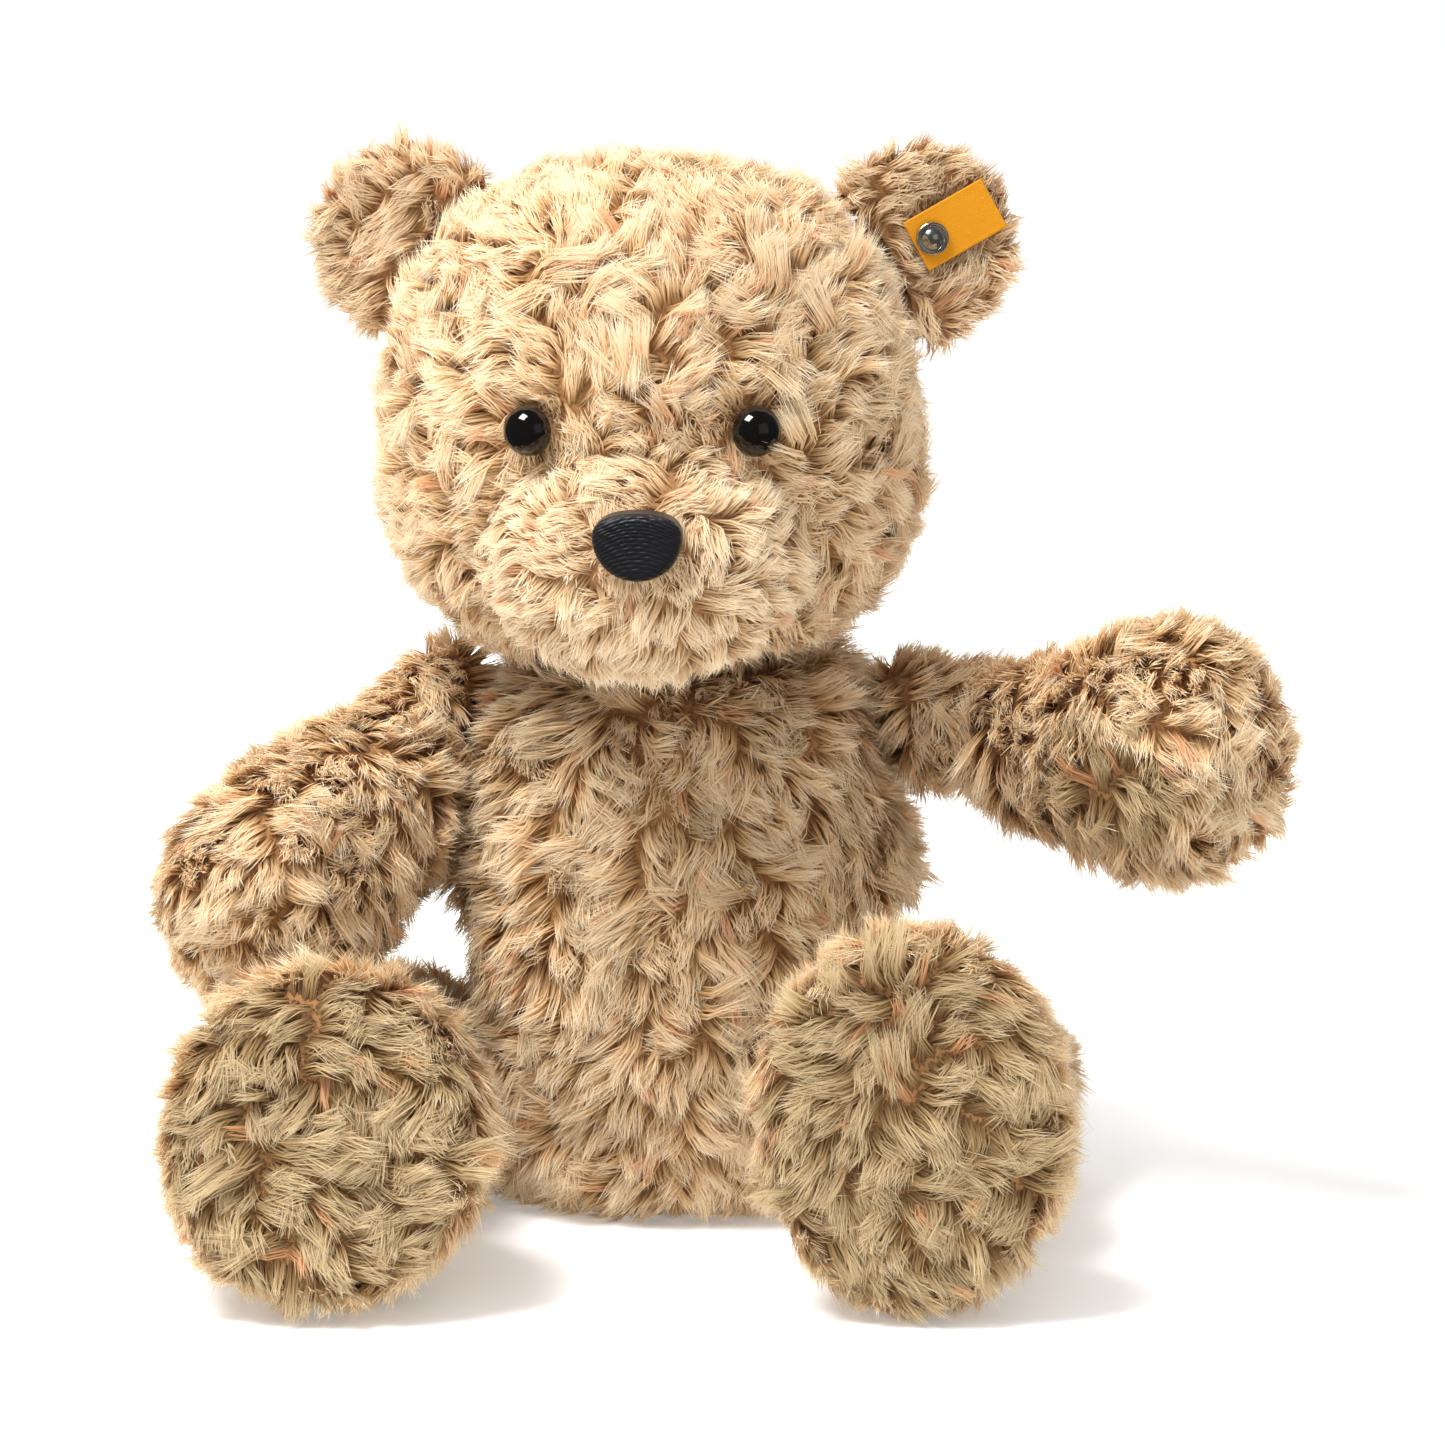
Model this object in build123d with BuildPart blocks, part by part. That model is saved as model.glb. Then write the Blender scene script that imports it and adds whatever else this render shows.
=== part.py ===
from build123d import *
import os
from math import cos, radians, sin

os.makedirs("parts", exist_ok=True)

# Frame: the bear sits on the floor plane Z = 0 and faces -Y, +Z is up, and +X is the bear's left.
# All sizes are in millimetres.

# ---- overall sizes ----
torso_radius = 68.5          # widest half width of the torso, to the middle of its pile
torso_height = 153.0         # seat to the flat face under the neck
seat_radius = 52.0           # flat the torso sits on
head_radius = 74.0           # half width of the head across the cheeks
head_height = 132.2          # neck face to crown
head_x = -7.5                # head centre, a little to the bear's right of the torso
face_x = -5.0                # middle of the eyes, nose and muzzle
head_y = -12.0
muzzle_half_wide = 44.0
muzzle_half_deep = 38.0
muzzle_half_high = 32.5
muzzle_y = -70.0
muzzle_z = 183.7
arm_reach = 81.5             # shoulder to the middle of the paw
arm_root_radius = 19.5
arm_root_out = 13.3          # middle of the arm's root outward of its joint face
paw_radius = 36.0
paw_flatten = 0.86           # width of the paw over its height
thigh_half_wide = 31.5
thigh_half_high = 28.5
thigh_x = 77.0
foot_half_wide = 41.5
foot_half_high = 50.5
sole_y = -156.0              # front face of the soles
ear_radius = 28.5
ear_thickness = 14.0
pile = 6.0                   # cover: backing cloth and pile together

# ---- face and ear fittings ----
eye_radius = 6.8
eye_rise = 6.6               # dome height above its flat back
eye_sink = 2.0               # flat back below the middle of the pile
eye_spread = 30.3            # eye centre from the middle of the face
eye_z = 219.5
eye_shank_radius = 2.0
eye_washer_radius = 8.0
nose_half_wide = 11.6
nose_half_high = 9.6
nose_rise = 4.5
nose_z = 194.0
rivet_radius = 4.6
rivet_post_radius = 1.2
rivet_shift = 3.0            # stud outward from the middle of the ear, and as far up
tag_length = 27.0
tag_width = 15.0
tag_rise = 29.0              # tag's slope outward and up, in degrees
tag_thickness = 0.8

# ---- disc joints ----
stem_radius = 3.0
stem_fit = 0.05              # running fit between a stem and the torso's washer
cover_clear = 0.3            # between a stem and the torso cover it passes
joint_gap = 0.3              # between the torso and each moving part
disc_thickness = 2.0
washer_thickness = 1.5
washer_gap = 0.1             # lock washer to torso washer
stem_tail = 1.5              # stem past its lock washer
neck_disc_radius = 16.0
shoulder_disc_radius = 11.0
hip_disc_radius = 15.0
pocket_clear = 0.4           # room in the stuffing round a turning lock washer

shoulder_tilt = 18.0         # shoulder axis, degrees above level
shoulder_x = 53.45
shoulder_z = 127.0
hip_x = 54.0
hip_y = -8.0
hip_z = 36.0
neck_x = -2.0
neck_y = -4.0
hip_clear_radius = 78.0      # reach round a hip within which a leg keeps outside the torso's side
hip_recess_radius = 45.0     # round recess in the torso's side that each leg turns in

neck_seat = Plane(origin=(neck_x, neck_y, torso_height), x_dir=(1, 0, 0), z_dir=(0, 0, 1))


def shoulder_seat(side):
    """Plane of the flat the arm turns on; side is 1 for the bear's left and -1 for its right."""
    out = (side * cos(radians(shoulder_tilt)), 0, sin(radians(shoulder_tilt)))
    return Plane(origin=(side * shoulder_x, 0, shoulder_z), x_dir=(0, 1, 0), z_dir=out)


def hip_seat(side):
    """Plane of the flat the leg turns on."""
    return Plane(origin=(side * hip_x, hip_y, hip_z), x_dir=(0, 1, 0), z_dir=(side, 0, 0))


def beyond(seat, start, radius=400.0):
    """Everything outward of a seat plane, from a given distance, as a wide drum."""
    with BuildPart() as drum:
        with BuildSketch(seat.offset(start)):
            Circle(radius)
        extrude(amount=400)
    return drum.part


def drum(seat, start, end, radius):
    """Round slug about a seat's axis between two distances from the seat."""
    with BuildPart() as slug:
        with BuildSketch(seat.offset(start)):
            Circle(radius)
        extrude(amount=end - start)
    return slug.part


def oval_points(half_wide, half_high):
    """Points round an oval, always started from the same side."""
    count = 12
    points = []
    for step in range(count):
        turn = radians(360 * step / count)
        points.append((half_wide * cos(turn), half_high * sin(turn)))
    return points


# ---- disc joint pieces ----
def joint_disc(seat, radius):
    """Disc inside the moving part, with the stem that reaches into the torso."""
    disc_start = joint_gap + pile
    tail = pile + washer_thickness + washer_gap + washer_thickness + stem_tail
    with BuildPart() as disc:
        with BuildSketch(seat.offset(disc_start)):
            Circle(radius)
        extrude(amount=disc_thickness)
        with BuildSketch(seat.offset(-tail)):
            Circle(stem_radius)
        extrude(amount=tail + disc_start)
        rim = disc.edges().filter_by(GeomType.CIRCLE).sort_by(SortBy.RADIUS)[-2:]
        fillet(rim, radius=0.6)
    return disc


def torso_washer(seat, radius):
    """Flat washer against the inside of the torso cover."""
    with BuildPart() as washer:
        with BuildSketch(seat.offset(-pile - washer_thickness)):
            Circle(radius)
            Circle(stem_radius + stem_fit, mode=Mode.SUBTRACT)
        extrude(amount=washer_thickness)
    return washer


def lock_washer(seat, radius):
    """Washer pressed on the stem that keeps the joint together."""
    with BuildPart() as washer:
        with BuildSketch(seat.offset(-pile - 2 * washer_thickness - washer_gap)):
            Circle(radius * 0.8)
            Circle(stem_radius, mode=Mode.SUBTRACT)
        extrude(amount=washer_thickness)
    return washer


def torso_pocket(seat, radius):
    """Room in the torso stuffing for the washers of one joint."""
    depth = pile + 2 * washer_thickness + washer_gap + stem_tail + pocket_clear
    return drum(seat, -depth, -pile, radius + pocket_clear)


def limb_pocket(seat, radius):
    """Room in a moving part's stuffing for its disc."""
    return drum(seat, joint_gap + pile, joint_gap + pile + disc_thickness, radius)


# ---- torso ----
def torso_form(shrink):
    """Pear turned about Z, shrunk by the cover's thickness for the stuffing inside it."""
    wide = torso_radius - shrink
    low = shrink
    high = torso_height - shrink
    tall = high - low
    with BuildPart() as form:
        with BuildSketch(Plane.XZ):
            with BuildLine():
                flat = Line((0, low), (seat_radius - shrink, low))
                Spline(
                    flat @ 1,
                    (wide * 0.895, low + tall * 0.085),
                    (wide, low + tall * 0.275),
                    (wide * 0.993, low + tall * 0.49),
                    (wide * 0.942, low + tall * 0.685),
                    (wide * 0.875, low + tall * 0.822),
                    (wide * 0.735, low + tall * 0.938),
                    (wide * 0.52, high),
                )
                Line((wide * 0.52, high), (0, high))
                Line((0, high), (0, low))
            make_face()
        revolve(axis=Axis.Z)
        for side in (-1, 1):
            add(beyond(shoulder_seat(side), -shrink), mode=Mode.SUBTRACT)
            add(beyond(hip_seat(side), -shrink, hip_recess_radius + shrink), mode=Mode.SUBTRACT)
    return form.part


def torso_panel(side, outer, inner):
    """One half of the torso cover, sewn to the other down the front and the back."""
    with BuildPart() as panel:
        add(outer)
        add(inner, mode=Mode.SUBTRACT)
        for each in (-1, 1):
            add(drum(shoulder_seat(each), -20, 5, stem_radius + cover_clear), mode=Mode.SUBTRACT)
            add(drum(hip_seat(each), -20, 5, stem_radius + cover_clear), mode=Mode.SUBTRACT)
        add(drum(neck_seat, -20, 5, stem_radius + cover_clear), mode=Mode.SUBTRACT)
        split(bisect_by=Plane.YZ, keep=Keep.TOP if side > 0 else Keep.BOTTOM)
    return panel


def torso_stuffing_form(inner):
    """Stuffing of the torso, with a pocket at each joint."""
    with BuildPart() as stuffing:
        add(inner)
        for side in (-1, 1):
            add(torso_pocket(shoulder_seat(side), shoulder_disc_radius), mode=Mode.SUBTRACT)
            add(torso_pocket(hip_seat(side), hip_disc_radius), mode=Mode.SUBTRACT)
        add(torso_pocket(neck_seat, neck_disc_radius), mode=Mode.SUBTRACT)
    return stuffing


# ---- head ----
def skull_form(shrink):
    """Round head turned about its own upright axis, flat where it meets the neck."""
    wide = head_radius - shrink
    low = torso_height + joint_gap + shrink
    tall = head_height - 2 * shrink
    with BuildPart() as form:
        with BuildSketch(Plane(origin=(head_x, head_y, low), x_dir=(1, 0, 0), z_dir=(0, -1, 0))):
            with BuildLine():
                Line((0, 0), (wide * 0.56, 0))
                Spline(
                    (wide * 0.56, 0),
                    (wide * 0.82, tall * 0.09),
                    (wide * 0.96, tall * 0.23),
                    (wide, tall * 0.40),
                    (wide * 0.965, tall * 0.60),
                    (wide * 0.84, tall * 0.79),
                    (wide * 0.62, tall * 0.92),
                    (wide * 0.34, tall * 0.982),
                    (wide * 0.08, tall),
                )
                Line((wide * 0.08, tall), (0, tall))
                Line((0, tall), (0, 0))
            make_face()
        revolve(axis=Axis((head_x, head_y, 0), (0, 0, 1)))
    return form.part


def muzzle_form(shrink):
    """Broad short muzzle, an oval ball set into the front of the head."""
    wide = muzzle_half_wide - shrink
    deep = muzzle_half_deep - shrink
    high = muzzle_half_high - shrink
    with BuildPart() as form:
        for step in (-84, -66, -44, -22, 0, 22, 44, 66, 84):
            slide = sin(radians(step))
            swell = cos(radians(step)) ** 0.9
            plane = Plane(
                origin=(face_x, muzzle_y - deep * slide, muzzle_z),
                x_dir=(1, 0, 0),
                z_dir=(0, -1, 0),
            )
            with BuildSketch(plane):
                with BuildLine():
                    Spline(*oval_points(wide * swell, high * swell), periodic=True)
                make_face()
        loft()
    return form.part


def eye_seat(side):
    """Plane of an eye's flat back, square to the face."""
    turn = (face_x + side * eye_spread - head_x) / head_radius
    level = (1 - turn * turn) ** 0.5
    reach = head_radius - eye_sink
    origin = (head_x + reach * turn, head_y - reach * level, eye_z)
    return Plane(origin=origin, x_dir=(level, turn, 0), z_dir=(turn, -level, 0))


def eye_piece(side):
    """Glossy eye: a low dome with a shank through the cover."""
    seat = eye_seat(side)
    ball = (eye_radius ** 2 + eye_rise ** 2) / (2 * eye_rise)
    with BuildPart() as eye:
        with BuildSketch(seat):
            Circle(eye_radius)
        extrude(amount=eye_rise)
        with Locations(seat.offset(eye_rise - ball).location):
            Sphere(ball, mode=Mode.INTERSECT)
        with BuildSketch(seat.offset(-pile - 1)):
            Circle(eye_shank_radius)
        extrude(amount=pile + 1)
    return eye


def eye_washer(side):
    """Washer that holds an eye from inside the head."""
    seat = eye_seat(side)
    with BuildPart() as washer:
        with BuildSketch(seat.offset(eye_sink - pile - 2.2)):
            Circle(eye_washer_radius)
            Circle(eye_shank_radius, mode=Mode.SUBTRACT)
        extrude(amount=1.4)
    return washer


def nose_points(half_wide, half_high):
    """Points round the nose's shield outline: nearly flat on top, rounded below."""
    return [
        (0, half_high),
        (half_wide * 0.42, half_high * 0.98),
        (half_wide * 0.80, half_high * 0.82),
        (half_wide, half_high * 0.36),
        (half_wide * 0.90, -half_high * 0.22),
        (half_wide * 0.60, -half_high * 0.72),
        (0, -half_high),
        (-half_wide * 0.60, -half_high * 0.72),
        (-half_wide * 0.90, -half_high * 0.22),
        (-half_wide, half_high * 0.36),
        (-half_wide * 0.80, half_high * 0.82),
        (-half_wide * 0.42, half_high * 0.98),
    ]


def nose_form(half_wide, half_high, rise, muzzle, skull):
    """Padded nose shape standing on the muzzle."""
    front = muzzle_y - muzzle_half_deep - rise + 1.5
    back = Plane(origin=(face_x, front + 12, nose_z), x_dir=(1, 0, 0), z_dir=(0, -1, 0))
    with BuildPart() as form:
        with BuildSketch(back):
            with BuildLine():
                Spline(*nose_points(half_wide, half_high), periodic=True)
            make_face()
        extrude(amount=12)
        crown = form.faces().sort_by(Axis.Y)[0].edges()
        fillet(crown, radius=min(rise * 0.7, 2.6))
        add(muzzle, mode=Mode.SUBTRACT)
        add(skull, mode=Mode.SUBTRACT)
    return form


def head_cover(outer, inner, muzzle, side):
    """One piece of the head cover: 1 left, -1 right, 0 the centre gusset."""
    half_gusset = 19.0
    with BuildPart() as cover:
        add(outer)
        add(inner, mode=Mode.SUBTRACT)
        add(muzzle, mode=Mode.SUBTRACT)
        if side == 0:
            with Locations((head_x, head_y, 220)):
                Box(2 * half_gusset, 300, 300, mode=Mode.INTERSECT)
            add(drum(neck_seat, -5, 20, stem_radius), mode=Mode.SUBTRACT)
            for eye_side in (-1, 1):
                add(eye_piece(eye_side).part, mode=Mode.SUBTRACT)
                add(eye_washer(eye_side).part, mode=Mode.SUBTRACT)
        else:
            with Locations((head_x + side * (half_gusset + 60), head_y, 220)):
                Box(120, 300, 300, mode=Mode.INTERSECT)
            add(eye_piece(side).part, mode=Mode.SUBTRACT)
            add(eye_washer(side).part, mode=Mode.SUBTRACT)
    return cover


def muzzle_cover(muzzle, muzzle_inner, skull_inner):
    """Muzzle panel sewn to the front of the head."""
    with BuildPart() as cover:
        add(muzzle)
        add(muzzle_inner, mode=Mode.SUBTRACT)
        add(skull_inner, mode=Mode.SUBTRACT)
        for side in (-1, 1):
            add(eye_piece(side).part, mode=Mode.SUBTRACT)
            add(eye_washer(side).part, mode=Mode.SUBTRACT)
    return cover


def head_stuffing_form(skull_inner, muzzle_inner):
    """Stuffing of the head and muzzle, with room for the neck disc and the eye fittings."""
    with BuildPart() as stuffing:
        add(skull_inner)
        add(muzzle_inner)
        add(limb_pocket(neck_seat, neck_disc_radius), mode=Mode.SUBTRACT)
        for side in (-1, 1):
            add(eye_piece(side).part, mode=Mode.SUBTRACT)
            add(eye_washer(side).part, mode=Mode.SUBTRACT)
    return stuffing


# ---- ears ----
def ear_seat(side):
    """Middle plane of an ear, facing forward and a little outward."""
    turn = radians(12)
    origin = (face_x + side * 68.5, 5.0, 259.5)
    facing = (side * sin(turn), -cos(turn), 0)
    return Plane(origin=origin, x_dir=(cos(turn), side * sin(turn), 0), z_dir=facing)


def ear_form(side, skull):
    """Round flat ear, trimmed where it is sewn to the head."""
    with BuildPart() as form:
        with BuildSketch(ear_seat(side).offset(-ear_thickness / 2)):
            Circle(ear_radius)
        extrude(amount=ear_thickness)
        fillet(form.edges().filter_by(GeomType.CIRCLE), radius=ear_thickness * 0.42)
        add(skull, mode=Mode.SUBTRACT)
    return form.part


def ear_panel(side, form, keep):
    """Front or back cloth of an ear."""
    with BuildPart() as panel:
        add(form)
        split(bisect_by=ear_seat(side), keep=keep)
        if side > 0:
            add(drum(rivet_seat(0), -20, 20, rivet_post_radius), mode=Mode.SUBTRACT)
    return panel


def rivet_seat(height):
    """Plane across the stud's axis at a height above the middle of the ear."""
    ear = ear_seat(1)
    origin = ear.origin + ear.x_dir * rivet_shift + ear.y_dir * rivet_shift + ear.z_dir * height
    slope = radians(tag_rise)
    along = ear.x_dir * cos(slope) + ear.y_dir * sin(slope)
    return Plane(origin=origin, x_dir=along, z_dir=ear.z_dir)


def rivet_cap():
    """Round stud with a post through the ear and its tag."""
    seat = rivet_seat(ear_thickness / 2 + tag_thickness)
    rise = 2.6
    ball = (rivet_radius ** 2 + rise ** 2) / (2 * rise)
    with BuildPart() as cap:
        with BuildSketch(seat):
            Circle(rivet_radius)
        extrude(amount=rise)
        with Locations(seat.offset(rise - ball).location):
            Sphere(ball, mode=Mode.INTERSECT)
        with BuildSketch(seat.offset(-tag_thickness - ear_thickness - 1.0)):
            Circle(rivet_post_radius)
        extrude(amount=tag_thickness + ear_thickness + 1.0)
    return cap


def rivet_back():
    """Back plate pressed on the stud's post."""
    with BuildPart() as plate:
        with BuildSketch(rivet_seat(-ear_thickness / 2 - 1.0)):
            Circle(rivet_radius * 0.9)
            Circle(rivet_post_radius, mode=Mode.SUBTRACT)
        extrude(amount=1.0)
    return plate


def tag_form():
    """Blank cloth tag held under the stud, running outward and up."""
    with BuildPart() as tag:
        with BuildSketch(rivet_seat(ear_thickness / 2)):
            with Locations((tag_length / 2 - 5.0, 0)):
                Rectangle(tag_length, tag_width)
            Circle(rivet_post_radius, mode=Mode.SUBTRACT)
        extrude(amount=tag_thickness)
    return tag


# ---- arms ----
arm_way = {1: (65.0, -46.4, 2.5), -1: (-42.5, -61.0, -44.0)}
arm_plump = {1: 1.0, -1: 1.22}       # width over height of the upper arm
arm_sag = {1: 3.0, -1: 0.0}          # how far the middle of the arm hangs below a straight line
arm_bent = {1: 0.0, -1: 3.5}         # reach lost where the arm is bent down onto the leg
arm_middle = {1: (0.42, 0.39, 0.79), -1: (0.40, 0.42, 0.84)}
pad_facing = {1: (-0.35, -0.92, -0.15), -1: (0.60, 0.05, -0.80)}


def arm_frame(side):
    """Frame of an arm: Z runs from the shoulder to the paw, X is level across it."""
    seat = shoulder_seat(side)
    root = seat.offset(arm_root_out).origin
    way = Vector(*arm_way[side]).normalized()
    across = Vector(0, 0, 1).cross(way).normalized()
    return Plane(origin=root, x_dir=across, z_dir=way)


def arm_slices(side):
    """Slices down an arm: distance from shoulder, half height, width over height, end pull, sag."""
    paw = paw_radius
    root = arm_root_radius
    reach = arm_reach - arm_bent[side]
    upper, lower, wrist = arm_middle[side]
    flat = paw_flatten
    plump = arm_plump[side]
    sag = arm_sag[side]
    return [
        (-root, root * 0.36, 1.0, 1.0, 0),
        (-root * 0.86, root * 0.66, 1.0, 0.75, 0),
        (-root * 0.45, root * 0.93, 1.0, 0.3, 0),
        (0, root, 1.0, 0, 0),
        (reach * 0.36, root * upper + paw * lower, plump * (0.6 + flat * 0.4), 0, sag),
        (reach * 0.66, paw * wrist, (0.5 + plump * 0.5) * (0.3 + flat * 0.7), 0, sag * 1.2),
        (reach, paw, flat, 0, sag * 0.7),
        (reach + paw * 0.42, paw * 0.92, flat, -0.35, sag * 0.6),
        (reach + paw * 0.72, paw * 0.71, flat, -0.65, sag * 0.6),
        (reach + paw * 0.86, paw * 0.48, flat, -0.85, sag * 0.6),
        (reach + paw * 0.92, paw * 0.27, flat, -1.0, sag * 0.6),
    ]


def arm_form(side, shrink):
    """Stuffed arm from shoulder to paw, flat where it turns against the torso."""
    frame = arm_frame(side)
    with BuildPart() as form:
        for along, half, flat, pull, sag in arm_slices(side):
            inset = shrink * (1 - 0.65 * abs(pull))
            level = frame.offset(along + shrink * pull)
            down = level.y_dir * (-sag if level.y_dir.Z > 0 else sag)
            plane = Plane(origin=level.origin + down, x_dir=level.x_dir, z_dir=level.z_dir)
            with BuildSketch(plane):
                with BuildLine():
                    Spline(*oval_points((half - inset) * flat, half - inset), periodic=True)
                make_face()
        loft()
        with BuildPart(mode=Mode.PRIVATE) as inward:
            with BuildSketch(shoulder_seat(side).offset(joint_gap + shrink)):
                Circle(200)
            extrude(amount=-200)
        add(inward.part, mode=Mode.SUBTRACT)
    return form.part


def paw_pad_plane(side):
    """Plane the paw pad is cut at, on the palm side of the paw."""
    frame = arm_frame(side)
    centre = frame.offset(arm_reach - arm_bent[side] + 2.0).origin
    facing = Vector(*pad_facing[side])
    facing = (facing - frame.z_dir * facing.dot(frame.z_dir)).normalized()
    return Plane(origin=centre + facing * (paw_radius * 0.66), z_dir=facing)


def arm_split_plane(side):
    """Plane of the arm's seam, along the arm and square to the palm."""
    frame = arm_frame(side)
    return Plane(origin=frame.origin, z_dir=paw_pad_plane(side).z_dir)


def arm_cover(side, outer, inner, which):
    """One piece of an arm's cover: outer, inner or pad."""
    with BuildPart() as cover:
        add(outer)
        add(inner, mode=Mode.SUBTRACT)
        add(drum(shoulder_seat(side), -5, 12, stem_radius), mode=Mode.SUBTRACT)
        add(limb_pocket(shoulder_seat(side), shoulder_disc_radius), mode=Mode.SUBTRACT)
        if which == "pad":
            split(bisect_by=paw_pad_plane(side), keep=Keep.TOP)
        else:
            split(bisect_by=paw_pad_plane(side), keep=Keep.BOTTOM)
            split(
                bisect_by=arm_split_plane(side),
                keep=Keep.TOP if which == "inner" else Keep.BOTTOM,
            )
    return cover


def arm_stuffing(side, inner):
    """Stuffing of an arm, with room for its disc."""
    with BuildPart() as stuffing:
        add(inner)
        add(limb_pocket(shoulder_seat(side), shoulder_disc_radius), mode=Mode.SUBTRACT)
    return stuffing


# ---- legs ----
foot_lean = {1: 3.0, -1: 20.0}         # how far each sole leans back, in degrees
foot_x = {1: 68.5, -1: -82.0}
foot_z = {1: 51.5, -1: 45.5}
foot_grow = {1: (0.985, 1.0), -1: (1.05, 0.89)}


def leg_slices(side):
    """Slices down a leg: centre, lean, half width, half height, share of the end pull."""
    hip = side * thigh_x
    toe = foot_x[side]
    rise = foot_z[side]
    lean = foot_lean[side]
    wide = foot_half_wide * foot_grow[side][0]
    high = foot_half_high * foot_grow[side][1]
    thigh_wide = thigh_half_wide
    thigh_high = thigh_half_high
    low = thigh_high + 2.0
    return [
        ((hip, 25, low), 0, thigh_wide * 0.35, thigh_high * 0.35, 1.0),
        ((hip, 21, low), 0, thigh_wide * 0.66, thigh_high * 0.66, 0.75),
        ((hip, 9, low), 0, thigh_wide * 0.93, thigh_high * 0.93, 0.3),
        ((hip, -9, low), 0, thigh_wide, thigh_high, 0),
        ((hip + side * 1, -50, low), 0, thigh_wide * 0.88, thigh_high * 0.97, 0),
        ((side * 80, sole_y + 71, low), 0, thigh_wide * 0.82, thigh_high * 0.97, 0),
        ((side * 70 * 0.35 + toe * 0.65, sole_y + 48, low + 5), lean * 0.4, wide * 0.80, high * 0.73, 0),
        ((toe, sole_y + 33, rise * 0.9), lean * 0.7, wide * 0.95, high * 0.90, 0),
        ((toe, sole_y + 17, rise), lean, wide, high, 0),
        ((toe, sole_y + 6, rise + lean * 0.09), lean, wide * 0.96, high * 0.965, -0.6),
        ((toe, sole_y, rise + lean * 0.14), lean, wide * 0.85, high * 0.875, -1.0),
    ]


def leg_form(side, shrink):
    """Stuffed leg and foot, flat where it turns against the torso."""
    with BuildPart() as form:
        for centre, lean, half_wide, half_high, pull in leg_slices(side):
            inset = shrink * (1 - 0.65 * abs(pull))
            way = (0, -cos(radians(lean)), sin(radians(lean)))
            plane = Plane(origin=centre, x_dir=(1, 0, 0), z_dir=way).offset(shrink * pull)
            with BuildSketch(plane):
                with BuildLine():
                    Spline(*oval_points(half_wide - inset, half_high - inset), periodic=True)
                make_face()
        loft()
        with BuildPart(mode=Mode.PRIVATE) as inward:
            with BuildSketch(hip_seat(side).offset(joint_gap + shrink)):
                Circle(hip_clear_radius + shrink)
            extrude(amount=-100)
        add(inward.part, mode=Mode.SUBTRACT)
    return form.part


def sole_plane(side):
    """Plane the sole panel is sewn at."""
    lean = radians(foot_lean[side])
    origin = (foot_x[side], sole_y + 8, foot_z[side])
    return Plane(origin=origin, x_dir=(1, 0, 0), z_dir=(0, -cos(lean), sin(lean)))


def leg_cover(side, outer, inner, which):
    """One piece of a leg's cover: outer, inner or sole."""
    seam = Plane(origin=(side * thigh_x, 0, 0), z_dir=(side, 0, 0))
    with BuildPart() as cover:
        add(outer)
        add(inner, mode=Mode.SUBTRACT)
        add(drum(hip_seat(side), -5, 12, stem_radius), mode=Mode.SUBTRACT)
        add(limb_pocket(hip_seat(side), hip_disc_radius), mode=Mode.SUBTRACT)
        if which == "sole":
            split(bisect_by=sole_plane(side), keep=Keep.TOP)
        else:
            split(bisect_by=sole_plane(side), keep=Keep.BOTTOM)
            split(bisect_by=seam, keep=Keep.TOP if which == "outer" else Keep.BOTTOM)
    return cover


def leg_stuffing(side, inner):
    """Stuffing of a leg, with room for its disc."""
    with BuildPart() as stuffing:
        add(inner)
        add(limb_pocket(hip_seat(side), hip_disc_radius), mode=Mode.SUBTRACT)
    return stuffing


def save(name, piece):
    """Write one piece as its own file."""
    piece.part.label = name
    export_step(piece.part, f"parts/{name}.step")
    print(f"{name}: {len(piece.part.solids())} solid, {piece.part.volume / 1000:.1f} cm3")


def build_torso():
    """Torso covers, stuffing and the five washers that stay with it."""
    outer = torso_form(0)
    inner = torso_form(pile)
    save("torso_left_panel", torso_panel(1, outer, inner))
    save("torso_right_panel", torso_panel(-1, outer, inner))
    save("torso_stuffing", torso_stuffing_form(inner))
    save("neck_washer", torso_washer(neck_seat, neck_disc_radius))
    for side, name in ((1, "left"), (-1, "right")):
        save(f"shoulder_washer_{name}", torso_washer(shoulder_seat(side), shoulder_disc_radius))
        save(f"hip_washer_{name}", torso_washer(hip_seat(side), hip_disc_radius))


def build_head():
    """Head covers, face, ears and the neck disc."""
    skull = skull_form(0)
    skull_inner = skull_form(pile)
    muzzle = muzzle_form(0)
    muzzle_inner = muzzle_form(pile)
    save("head_left_panel", head_cover(skull, skull_inner, muzzle, 1))
    save("head_right_panel", head_cover(skull, skull_inner, muzzle, -1))
    save("head_gusset", head_cover(skull, skull_inner, muzzle, 0))
    save("muzzle_panel", muzzle_cover(muzzle, muzzle_inner, skull_inner))
    save("head_stuffing", head_stuffing_form(skull_inner, muzzle_inner))
    save("neck_disc", joint_disc(neck_seat, neck_disc_radius))
    save("neck_lock_washer", lock_washer(neck_seat, neck_disc_radius))
    core = nose_form(nose_half_wide - 2.0, nose_half_high - 2.0, nose_rise - 1.8, muzzle, skull)
    stitched = nose_form(nose_half_wide, nose_half_high, nose_rise, muzzle, skull)
    with BuildPart() as stitching:
        add(stitched.part)
        add(core.part, mode=Mode.SUBTRACT)
    save("nose_felt_core", core)
    save("nose_stitching", stitching)
    for side, name in ((1, "left"), (-1, "right")):
        save(f"eye_{name}", eye_piece(side))
        save(f"eye_washer_{name}", eye_washer(side))
        ear = ear_form(side, skull)
        save(f"ear_{name}_front", ear_panel(side, ear, Keep.TOP))
        save(f"ear_{name}_back", ear_panel(side, ear, Keep.BOTTOM))
    save("ear_rivet_cap", rivet_cap())
    save("ear_rivet_back", rivet_back())
    save("ear_tag", tag_form())


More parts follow.
